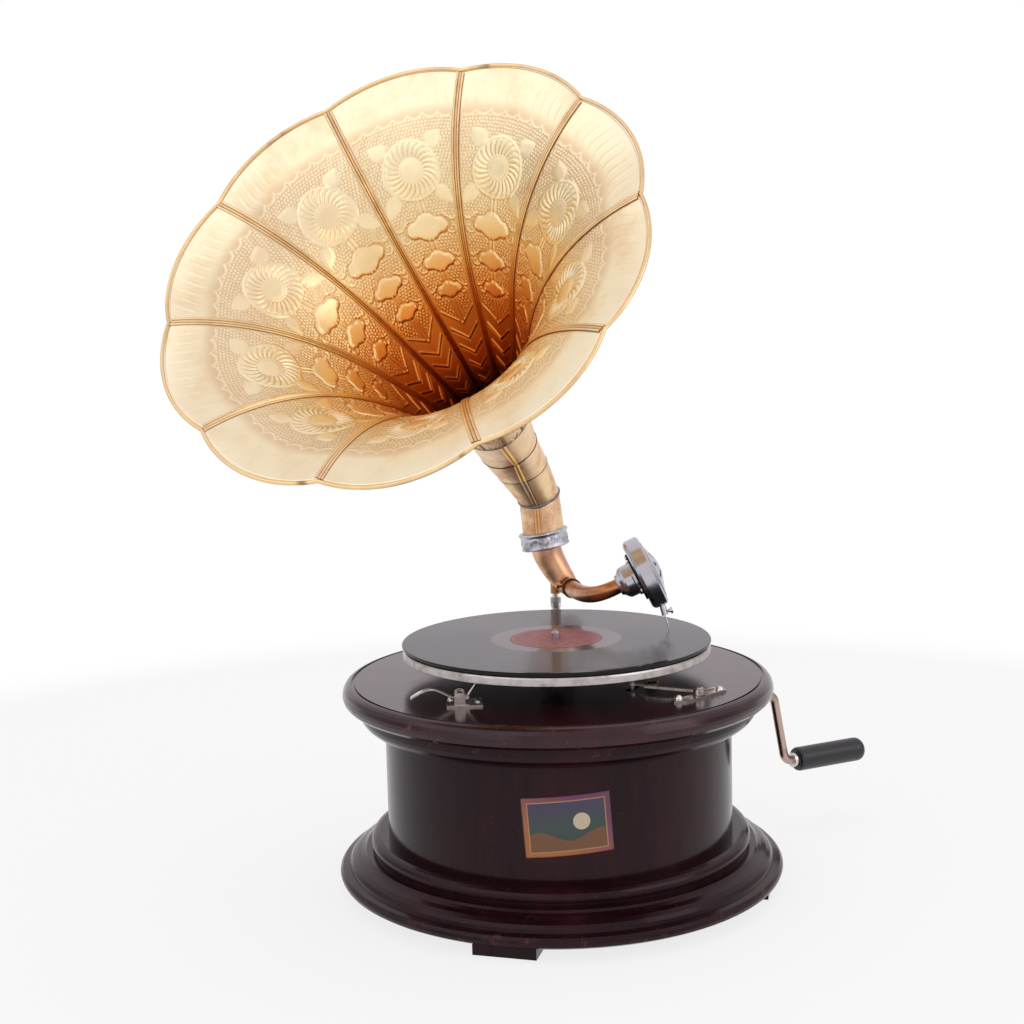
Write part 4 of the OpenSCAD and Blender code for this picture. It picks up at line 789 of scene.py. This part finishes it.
def rosette(x, w):
    """Swirled petals between a raised ring and a raised eye."""
    down = w - rosette_w
    r = np.hypot(x, down)
    outward = np.clip((r - eye_r) / (rosette_r - eye_r), 0, 1)
    turn = np.arctan2(down, x) + 0.022 * (r - eye_r) * outward
    phase = turn * petals / math.tau
    petal = np.abs(phase - np.round(phase)) * 2
    belt = bump_to(np.abs(r - (eye_r + rosette_r) / 2) - (rosette_r - eye_r) / 2 + 1.2, 1.6)
    gap = petal * math.pi * r / petals
    groove = 0.85 - 0.45 * outward
    puffs = belt * (0.95 - 1.15 * np.exp(-(gap / groove) ** 2))
    ring = ridge(r - rosette_r, 1.7, 0.8)
    eye = 0.7 * bump_to(r - eye_r + 1.0, 2.0) + ridge(r - eye_r, 1.4, 0.5)
    return puffs + ring + eye, r


def corner_leaf(x, w, side_x, side_w):
    """Rough distance outside a pointed bud that grows from the rosette toward a corner of the leaf."""
    way_x, way_w = side_x * 0.72, side_w * 0.70
    length = math.hypot(way_x, way_w)
    way_x, way_w = way_x / length, way_w / length
    px, pw = x - way_x * (rosette_r + 0.5), (w - rosette_w) - way_w * (rosette_r + 0.5)
    along, across = px * way_x + pw * way_w, -px * way_w + pw * way_x
    share = np.clip(along / bud_l, 0, 1)
    half = bud_half * np.sin(np.pi * share ** 0.75) ** 0.8 * (1 - 0.25 * share) + 0.2
    gap = np.abs(across - 1.8 * share * share * side_x) - half
    return np.where((along < -1) | (along > bud_l), np.abs(along - bud_l / 2) - bud_l / 2 + 1, gap)


def leaf_relief(x, w, half):
    """Height of the pressed ornament at each point, and where the beaded field lies."""
    height = crescents(x, w)
    lobes = lobe_w + 4.5 * np.abs(np.cos(np.pi * x / lobe_pitch)) ** 0.6
    border = w - lobes
    height += np.where(np.abs(x) < half - 6, ridge(border, 1.6, 0.34), 0)
    arms = point_w - np.abs(x) * 1.15
    field = bump_to(-(border - 1.5), 1.5) * bump_to(w - arms + 2.5, 1.5)
    round_part, r = rosette(x, w)
    free = bump_to(-(r - rosette_r - 1.4), 1.2)
    height += np.where(r < rosette_r + 3, round_part, 0)
    for side_x in (-1, 1):
        for side_w in (-1, 1):
            gap = corner_leaf(x, w, side_x, side_w)
            height += bump_to(gap + 1.0, 1.4) * 0.55 + ridge(gap, 1.1, 0.4) * (r > rosette_r)
            free *= bump_to(-(gap - 1.2), 1.2)
    stems = [(rosette_w + rosette_r, cartouches[0][0] - cartouches[0][2])]
    stems += [(a[0] + a[2], b[0] - b[2]) for a, b in zip(cartouches, cartouches[1:])]
    stems.append((cartouches[-1][0] + cartouches[-1][2], point_w - 2))
    for start, end in stems:
        on = (w > start + 0.6) & (w < end - 0.4)
        height += np.where(on, ridge(np.abs(x) - 1.75, 1.3, 0.8), 0)
        free *= np.where(on, bump_to(-(np.abs(x) - 3.4), 1.0), 1)
    for at, half_x, half_w in cartouches:
        gap = blob(x, w, at, half_x, half_w)
        height += bump_to(gap + 0.4, 1.0) * 0.9 + ridge(gap, 1.0, 0.4) - ridge(gap - 1.1, 1.0, 0.35)
        curl_x, curl_w = np.abs(x) - half_x * 1.12, w - at - half_w * 0.35
        curl = np.hypot(curl_x, curl_w * 1.1)
        arc = ridge(curl - half_w * 0.42, 1.2, 0.7) * (curl_w > -half_w * 0.3)
        wave = ridge(w - at + half_w * 0.75 - 3.0 * np.sin((np.abs(x) - half_x) / 3.2), 1.2, 0.6)
        wave = np.where((np.abs(x) > half_x * 0.9) & (np.abs(x) < half - 3), wave, 0)
        height += np.where(np.abs(x) < half - 2.5, arc, 0) + wave
        free *= bump_to(-(gap - 1.6), 1.0) * bump_to(-(np.abs(curl - half_w * 0.42) - 1.2), 0.8)
    height += ridge(w - arms, 1.6, 0.9)
    for k in range(1, chevrons + 1):
        size = 1 - 0.06 * k
        vee = w - (point_w + chevron_pitch * k) + np.abs(x) * 1.15
        inside = np.abs(x) < (half - 4.5) * min(1, size + 0.12)
        height += np.where(inside, ridge(vee, 2.0, 0.9) - ridge(vee - 2.4, 1.8, 0.4), 0)
    border_seam = bump_to(np.abs(x) - half + 4.2, 1.2)
    height += field * free * (0.75 * dots(x, w) - 0.1) * border_seam
    return height * border_seam


leaf_columns = 104
# the share of the way between two seams that a leaf takes up
leaf_fill = 0.998
rim_rows, field_rows, throat_rows = 30, 205, 112
field_w = (34.0, 208.0)


def leaf_rows():
    """Distances in from the rim of the leaf's rows, closest where the beads are."""
    start, end = field_w
    return np.concatenate([
        np.linspace(wire_r + 0.2, start, rim_rows, endpoint=False),
        np.linspace(start, end, field_rows, endpoint=False),
        np.linspace(end, bell_l, throat_rows)])


def make_leaves():
    """Ten pressed leaves, each a sheet with the ornament raised on the inside."""
    rows = leaf_rows()
    sheet, across, along = grid(leaf_columns, len(rows) - 1)
    w = np.interp(along, np.linspace(0, 1, len(rows)), rows)
    turn = (across * 2 - 1) * leaf_half * leaf_fill
    half = along_flare(w)[1] * leaf_half
    height = leaf_relief(along_flare(w)[1] * turn, w, half)
    for k in range(leaves):
        mesh = shape_mesh(sheet.copy(), on_horn(w, turn, k, height), depth=w / bell_l, relief=height)
        made = piece(f"bell_leaf_{k + 1}", mesh, "horn", finishes["bell"],
                     ("horn_bell",) if k == 0 else (), 180)
        give_wall(made, "sheet", sheet_t, finishes["bell_back"])
    bpy.data.meshes.remove(sheet)


seam_half = 3.5
seam_rows = 150
# half of the seam's inner outline from its middle, as (share of its half width, height), and of its fold
# behind the sheet, as (share, depth)
seam_ridges = [(0.0, 1.2), (0.22, 0.7), (0.34, 0.25), (0.46, 0.7), (0.68, 1.0), (0.92, 0.65), (1.0, 0.1)]
seam_fold = [(0.8, 0.2), (0.3, 0.35), (0.24, 1.3), (0.0, 1.5)]


def make_seams():
    """Ten lock seams: two bright ridges and a groove inside, a standing fold outside."""
    left = [(-side, high) for side, high in seam_ridges[:0:-1]]
    fold = [(side, -sheet_t - deep) for side, deep in seam_fold]
    outline = np.array(left + seam_ridges + fold + [(-side, high) for side, high in fold[-2::-1]] + left[:1])
    corners = np.arange(len(outline))
    for k in range(leaves):
        mesh, across, along = grid(len(outline) - 1, seam_rows)
        side, height = (np.interp(across * (len(outline) - 1), corners, values) for values in outline.T)
        w = wire_r + along * (bell_l - wire_r)
        narrow = seam_half * (1 - 0.42 * along)
        height = np.where(height < -sheet_t, -sheet_t + (height + sheet_t) * (1 - 0.85 * along), height)
        turn = side * narrow / along_flare(w)[1]
        mesh = shape_mesh(mesh, on_horn(w, turn - leaf_half, k, height), depth=w / bell_l, relief=height)
        piece(f"bell_seam_{k + 1}", sealed(mesh, "seam", fill=True), "horn", finishes["seam"],
              ("seam_strips",) if k == 0 else (), 60)


rim_steps = 24
# how much slimmer the rim's wire is than its solid
wire_room = 0.22


def make_rim():
    """The rolled rim, a wire all round in ten shallow bows."""
    count = leaves * rim_steps
    turn_all = np.arange(count) * 2 * leaf_half / rim_steps
    leaf = np.floor(turn_all / (2 * leaf_half) + 1e-9)
    turn = turn_all - leaf * 2 * leaf_half - leaf_half
    line = on_horn(np.zeros(count), turn, -leaf, np.full(count, -sheet_t / 2))
    wire = sweep("bell_rim", line, wire_r - wire_room, closed=True, sides=4)
    piece("bell_rim", wire, "horn", finishes["rim"], ("rim_wire",))


neck_columns = 168
segment_rows = 14
# the neck's joints from its foot up, placed by their arcs in the photograph: middle from the collar's,
# slant from the collar's axis to the horn's, radius, and where the seam meets it in degrees from the front
neck_joints = [
    (-4.0 * collar_dir, 0.0, 19.0, -15.0),
    ((-4.0, 0.0, 38.5), 0.42, 18.5, -14.0),
    ((-18.2, -14.0, 66.2), 0.6, 23.1, -5.0),
    ((-29.3, -33.0, 86.8), 0.78, 25.8, 2.0),
    (mouth_at - (neck_depth - 0.8) * horn_dir - collar_at, 1.0, neck_r + 0.3, -7.0)]
# the solder at each joint above the foot: how far out it lies, its thickness, how much more there is at the
# seam, how uneven it is, and its finish
neck_solder = [
    (0.35, 1.05, 0.5, 0.3, "solder_grey"),
    (-0.2, 0.5, 0.2, 0.12, "thin_joint"),
    (0.0, 0.55, 0.7, 0.12, "thin_joint"),
    (0.5, 0.8, 0.1, 0.12, "solder_grey")]
solder_steps = 120
# how far the seam's edges and outer grooves are from its middle, and how wide they are, in millimetres; and
# the radius that turns about the neck are measured on, at its foot and what each joint adds
seam_edge, seam_edge_wide = 1.5, 0.6
seam_groove, seam_groove_wide = 2.7, 0.5
girth_foot, girth_more = 17.8, 1.9


def joint_loop(joint, turn):
    """Points of a joint's outline by turn from the neck's seam, and their ways out."""
    at, share, radius, seam_turn = joint
    way = between(collar_dir, horn_dir, share)
    front = unit(np.array([0.0, -1.0, 0.0]) + way[1] * way)
    turn = turn + math.radians(seam_turn)
    out = np.cos(turn)[:, None] * front + np.sin(turn)[:, None] * np.cross(way, front)
    return collar_at + np.asarray(at) + radius * out, out


def neck_seam(turn, place):
    """Height, gold and dark of the neck's seam, by the turn from it and the place counted in joints."""
    off = turn * (girth_foot + girth_more * place)
    edge = np.exp(-((np.abs(off) - seam_edge) / seam_edge_wide) ** 2)
    grooves = (np.exp(-((np.abs(off) - seam_groove) / seam_groove_wide) ** 2)
               + np.exp(-(off / seam_groove_wide) ** 2))
    low, middle_part, high = place < 0.98, (place > 1.04) & (place < 1.98), place > 2.04
    raised = np.where(high, 1.1 * np.exp(-(off / 1.6) ** 4), np.where(place > 1.04, 0.75, 0.4) * edge)
    gold = np.where(high, np.exp(-(off / 1.7) ** 4), np.where(low, edge, 0))
    dark = np.where(middle_part, np.maximum(grooves, edge * 0.6), 0.5 * grooves * (place < 2))
    return raised, gold, dark


def make_neck():
    """The mitred neck: sheet between its joints, with a seam down its front."""
    count = segment_rows * (len(neck_joints) - 1)
    mesh, across, along = grid(neck_columns, count)
    u = across * 2 - 1
    turn = math.pi * u * (0.35 + 0.65 * u * u)
    row = np.rint(along * count).astype(int)
    place = row / segment_rows
    part = np.minimum(place.astype(int), len(neck_joints) - 2)
    share = (place - part)[:, None]
    loops = [joint_loop(joint, turn) for joint in neck_joints]
    spots, ways = (np.array([loop[k] for loop in loops]) for k in range(2))
    each = np.arange(len(turn))
    base = (1 - share) * spots[part, each] + share * spots[part + 1, each]
    out = (1 - share) * ways[part, each] + share * ways[part + 1, each]
    raised, gold, dark = neck_seam(turn, place)
    dents = 0.14 * np.sin(3 * turn + 2.1 * place) * np.sin(math.pi * (place % 1))
    mesh = shape_mesh(mesh, base + (raised + dents)[:, None] * out, relief=raised, gold=gold, dark=dark)
    made = piece("neck_sheet", sealed(mesh, "neck"), "horn", finishes["neck"], ("horn_neck",),
                 12)
    give_wall(made, "sheet", sheet_t, finishes["neck_inside"])


def make_solder():
    """An uneven bead of solder round each of the neck's joints above its foot."""
    turns = np.arange(solder_steps) * math.tau / solder_steps
    near_seam = np.exp(-((turns - math.pi) % math.tau - math.pi) ** 2 / 0.12)
    for k, (joint, (rise, thick, more, uneven, look)) in enumerate(zip(neck_joints[1:], neck_solder)):
        spots, ways = joint_loop(joint, turns)
        wobble = 1 + uneven * np.sin(5 * turns + k) * np.sin(2 * turns + 1) + more * near_seam
        bead = sweep("bead", spots + rise * ways, thick * wobble, closed=True, sides=3)
        piece(f"neck_joint_{k + 1}", bead, "horn", finishes[look], ("solder_rings",) if k == 0 else (),
              60)


# the silver collar, the swan neck and the gooseneck

collar_columns = 180
collar_in = 18.1
collar_out = 20.4
belt_step = 1.4
# (radius, height) round the band's section: rolled lower edge, flat belt, rolled upper edge, and the bore
collar_profile = (
    [(collar_in, -7.3), (19.9, -7.7), (21.0, -7.1), (21.3, -6.1), (20.7, -5.1)]
    + [(collar_out, round(belt_step * k, 1)) for k in range(-3, 3)]
    + [(20.5, 3.8), (20.9, 4.7), (21.7, 5.4), (22.0, 6.3), (21.4, 7.3), (20.0, 7.8), (collar_in, 7.5),
       (collar_in, -7.3)])
collar_more = 0.5
wave_low, wave_rise, wave_wide, wave_high = -2.6, 5.2, 0.9, 0.75
hammer_deep = 0.35
lap_turn, lap_half, lap_high = math.pi + 0.1, 0.11, 0.6


def make_collar():
    """The collar under the horn: rolled edges, a hammered belt with a wavy line, and a lapped joint."""
    mesh, across, along = grid(collar_columns, len(collar_profile) - 1)
    corner, corners = along * (len(collar_profile) - 1), np.arange(len(collar_profile))
    radius, height = (np.interp(corner, corners, values) for values in zip(*collar_profile))
    turn = across * math.tau
    belt = np.exp(-(height / 4.6) ** 6) * (radius > 20)
    wave = np.exp(-((height - wave_low - wave_rise * np.abs(np.sin(4 * turn))) / wave_wide) ** 2)
    hammer = np.sin(23 * turn + 3 * np.sin(height)) * np.sin(1.9 * height + 5 * np.sin(7 * turn))
    lap = np.exp(-((turn - lap_turn) / lap_half) ** 6)
    radius = (radius + collar_more + belt * (wave_high * wave + hammer_deep * hammer)
              + lap_high * lap * (radius > 19))
    side, front = np.array([1.0, 0.0, 0.0]), np.array([0.0, 1.0, 0.0])
    side = unit(side - (side @ collar_dir) * collar_dir)
    turn = turn + math.pi / 2
    points = (collar_at + height[:, None] * collar_dir
              + radius[:, None] * (np.cos(turn)[:, None] * side + np.sin(turn)[:, None] * front))
    piece("collar_band", sealed(shape_mesh(mesh, points), "collar"), "arm", finishes["collar_metal"],
          ("collar_ring",), 60)


record_top = top_of("record")
joint_at = np.array([14.7, 118.0, record_top + 20])
box_at = np.array([74.5, 29.0, record_top + 47.5])
box_tilt, box_turn = math.radians(25.5), math.radians(2)
box_dir = np.array([math.cos(box_tilt) * math.cos(box_turn), math.cos(box_tilt) * math.sin(box_turn),
                    math.sin(box_tilt)])
box_half, gasket_t, cup_l = 7, 1.5, 16.2
cup_at = box_at - box_dir * (box_half + gasket_t + cup_l)
bend_lead = 26
neck_corner = cup_at - box_dir * bend_lead
neck_dir = unit(neck_corner - joint_at)
swan_steps, gooseneck_steps = 48, 64
# radii of the two tubes by the share of their length
swan_radii = [0, 0.12, 0.4, 0.7, 1], [13.6, 13.4, 12.4, 10.6, 8.2]
gooseneck_radii = [0, 1], [7.5, 6.2]
# how much of the way to the bend's corner the gooseneck's curve is drawn toward it
bend_pull = 0.78


def make_arm_tubes():
    """The cast swan neck, thicker under the collar, and the gooseneck's even bend."""
    start, end = collar_at - collar_dir * 8.3, joint_at - neck_dir * 12
    shares = np.linspace(0, 1, swan_steps)
    path = bezier(np.array([start, start - collar_dir * 14, end - neck_dir * 12, end]), shares)
    swan = sweep("swan", path, np.interp(shares, *swan_radii), sides=10)
    piece("swan_casting", swan, "arm", finishes["swan_brass"], ("swan_neck",), 50)
    shares = np.linspace(0, 1, gooseneck_steps)
    path = bezier(np.array([
        joint_at - neck_dir * 0.2, joint_at + (neck_corner - joint_at) * bend_pull,
        cup_at - box_dir * bend_lead * bend_pull, cup_at + box_dir * 1.5]), shares)
    gooseneck = sweep("gooseneck", path, np.interp(shares, *gooseneck_radii), sides=10)
    piece("gooseneck_tube", gooseneck, "sound_box", finishes["arm_copper"], ("gooseneck",), 50)


make_leaves()
make_seams()
make_rim()
make_neck()
make_solder()
make_collar()
make_arm_tubes()


# the picture's place on the drum

picture_turn = math.radians(-87.6)
picture_w = 66.0
picture_h = 46.0
picture_z = 88.0
picture_tilt = math.radians(4.0)
picture_out = 0.25
picture_columns, picture_rows = 48, 24


def from_edge(tree, share, size):
    """Distance from the nearer of two edges, where a share goes from 0 to 1 between them."""
    off = maths(tree, "ABSOLUTE", less(tree, share, 0.5))
    return product(tree, less(tree, 0.5, off), size)


def picture_print():
    """A plain framed print: gold edge, purple to orange border and a dusk field with hills."""
    made, tree, shader = finish("picture_print", Coat_Weight=0.3, Coat_Roughness=0.2)
    across, along = attribute(tree, "across"), attribute(tree, "along")
    edge = maths(tree, "MINIMUM", from_edge(tree, across, picture_w), from_edge(tree, along, picture_h))
    speck = cloud(tree, place_on(tree), 900.0, 4.0, 0.8)
    corner = total(tree, product(tree, across, 0.5), product(tree, along, 0.5))
    border = ramp(tree, corner, [
        (0.25, tint(178, 104, 46)), (0.5, tint(150, 72, 74)), (0.75, tint(112, 44, 92))])
    sky = ramp(tree, along, [(0.1, tint(38, 60, 46)), (0.5, tint(46, 66, 62)), (0.9, tint(62, 44, 84))])
    swells = maths(tree, "SINE", product(tree, across, 9.0))
    hill = total(tree, product(tree, swells, 0.08), 0.34)
    land = fade(tree, less(tree, hill, along), -0.01, 0.01)
    field = blend(tree, land, sky, tint(120, 72, 34))
    sun_x = product(tree, less(tree, across, 0.66), picture_w)
    sun_y = product(tree, less(tree, along, 0.56), picture_h)
    sun = fade(tree, hypotenuse(tree, sun_x, sun_y), 6.0, 6.6, 1.0, 0.0)
    field = blend(tree, sun, field, tint(216, 196, 170))
    whole = blend(tree, fade(tree, edge, 4.4, 4.8), border, field)
    line = product(tree, fade(tree, edge, 3.8, 4.1), fade(tree, edge, 4.6, 4.9, 1.0, 0.0))
    whole = blend(tree, product(tree, line, 0.8), whole, tint(196, 150, 84))
    whole = blend(tree, fade(tree, edge, 0.5, 1.0, 0.9, 0.0), whole, tint(52, 26, 24))
    whole = blend(tree, product(tree, fade(tree, speck, 0.5, 0.72), 0.35), whole, tint(24, 16, 20))
    rough = total(tree, product(tree, speck, 0.2), 0.25)
    feed(tree, shader, 0.15, 0.0001, Base_Color=whole, Roughness=rough, Height=speck)
    return made


def make_picture():
    """A thin print bent round the drum."""
    mesh, across, along = grid(picture_columns, picture_rows)
    x, y = (across - 0.5) * picture_w, (along - 0.5) * picture_h
    side = x * math.cos(picture_tilt) - y * math.sin(picture_tilt)
    up = x * math.sin(picture_tilt) + y * math.cos(picture_tilt)
    r = reach_of("drum_wall") + picture_out
    turn = picture_turn + side / r
    points = np.column_stack([r * np.cos(turn), r * np.sin(turn), picture_z + up])
    mesh = shape_mesh(mesh, points, across=across, along=along)
    made = piece("drum_picture", mesh, "cabinet", picture_print(), ())
    give_wall(made, "paper", picture_out)


make_picture()


# camera, floor and light

picture_side = 1024
camera_focal = 1500
sensor = 36
camera_from_axis = (3.79, -1196.9, 448.96)
camera_pitch = 0.1222
camera_yaw = -0.03084
camera_roll = -0.02559


def make_camera():
    """The photograph's view."""
    camera = bpy.data.objects.new("camera", bpy.data.cameras.new("camera"))
    bpy.context.scene.collection.objects.link(camera)
    camera.data.sensor_width = sensor
    camera.data.lens = camera_focal / picture_side * sensor
    camera.data.clip_end = 50
    ahead = Vector((math.sin(camera_yaw) * math.cos(camera_pitch),
                    math.cos(camera_yaw) * math.cos(camera_pitch), -math.sin(camera_pitch)))
    turn = ahead.to_track_quat("-Z", "Y").to_matrix().to_4x4() @ Matrix.Rotation(camera_roll, 4, "Z")
    camera.matrix_world = Matrix.Translation(AXIS + Vector(camera_from_axis) * MM) @ turn
    bpy.context.scene.camera = camera


floor_half = 15
floor_drop = 0.0002
floor_grey = (0.9, 0.9, 0.9, 1)
# the share of plain white in the floor's look under the object, and the distances from the frame's middle, in
# metres, where it starts to grow and where the floor is all white
floor_white = 0.8
shadow_fades = (0.45, 1.1)


def make_floor():
    """A pale floor that keeps the object's shadow and turns to white away from it."""
    shape = bmesh.new()
    bmesh.ops.create_grid(shape, x_segments=1, y_segments=1, size=floor_half)
    bmesh.ops.translate(shape, verts=shape.verts, vec=(0, 0, -floor_drop))
    mesh = mesh_of(shape, "floor")
    floor = bpy.data.objects.new("floor", mesh)
    bpy.context.scene.collection.objects.link(floor)
    made, tree, shader = finish("pale_floor", Roughness=0.9, Specular_IOR_Level=0.0)
    spot = add(tree, "ShaderNodeTexCoord", "Object")
    away = add(tree, "ShaderNodeVectorMath", "Value", {"operation": "LENGTH"}, _0=spot)
    far = fade(tree, away, *shadow_fades)
    shader.inputs["Base Color"].default_value = floor_grey
    white = tree.nodes.new("ShaderNodeEmission")
    rays = tree.nodes.new("ShaderNodeLightPath")
    seen = maths(tree, "MAXIMUM", rays.outputs["Is Camera Ray"],
                 maths(tree, "MAXIMUM", rays.outputs["Is Glossy Ray"], rays.outputs["Is Transmission Ray"]))
    share = product(tree, seen, maths(tree, "MAXIMUM", far, floor_white))
    mix = tree.nodes.new("ShaderNodeMixShader")
    tree.links.new(share, mix.inputs[0])
    tree.links.new(shader.outputs[0], mix.inputs[1])
    tree.links.new(white.outputs[0], mix.inputs[2])
    tree.links.new(mix.outputs[0], tree.nodes["Material Output"].inputs[0])
    mesh.materials.append(made)


# the world's light, what more a camera and a mirror see of it, and how much darker a mirror sees it low down
# at the sides
world_level, camera_more, mirror_more, side_less = 0.5, 0.5, 0.45, 0.4
mirror_tint = (1, 0.93, 0.975, 1)
# each lamp's place and size in metres, its power in watts, and whether a mirror sees it
lamps = {
    "key_lamp": ((-1.6, -1.3, 1.7), 3.2, 11.0, True),
    "fill_lamp": ((1.7, -0.9, 1.1), 1.6, 7.5, True),
    "top_lamp": ((0.1, 0.3, 2.3), 2.0, 10.5, False),
}
lamp_aim = Vector((0, 0, 0.3))


def make_world():
    """A pale world that shows white, with a faint tint and darker low sides in mirrors."""
    world = bpy.data.worlds.new("studio")
    bpy.context.scene.world = world
    world.use_nodes = True
    tree = world.node_tree
    lit = tree.nodes["Background"]
    rays = tree.nodes.new("ShaderNodeLightPath")
    mirrored = rays.outputs["Is Glossy Ray"]
    tree.links.new(blend(tree, mirrored, (1, 1, 1, 1), mirror_tint), lit.inputs[0])
    seen = maths(tree, "MAXIMUM", rays.outputs["Is Camera Ray"], rays.outputs["Is Transmission Ray"])
    way = tree.nodes.new("ShaderNodeSeparateXYZ")
    tree.links.new(add(tree, "ShaderNodeTexCoord", "Generated"), way.inputs[0])
    low_side = product(tree, fade(tree, maths(tree, "ABSOLUTE", way.outputs[0]), 0.5, 0.85),
                       fade(tree, way.outputs[2], 0.2, 0.6, 1.0, 0.0))
    shine = less(tree, mirror_more, product(tree, low_side, side_less))
    level = total(tree, product(tree, mirrored, shine), world_level)
    tree.links.new(total(tree, product(tree, seen, camera_more), level), lit.inputs[1])


def make_lamps():
    """Large soft lamps."""
    for name, (spot, size, power, mirrored) in lamps.items():
        lamp = bpy.data.lights.new(name, "AREA")
        lamp.shape = "DISK"
        lamp.size = size
        lamp.energy = power
        holder = bpy.data.objects.new(name, lamp)
        holder.visible_glossy = mirrored
        bpy.context.scene.collection.objects.link(holder)
        aim = lamp_aim - Vector(spot)
        holder.matrix_world = Matrix.Translation(spot) @ aim.to_track_quat("-Z", "Y").to_matrix().to_4x4()


make_camera()
make_floor()
make_world()
make_lamps()
bpy.context.scene.view_settings.view_transform = "Standard"
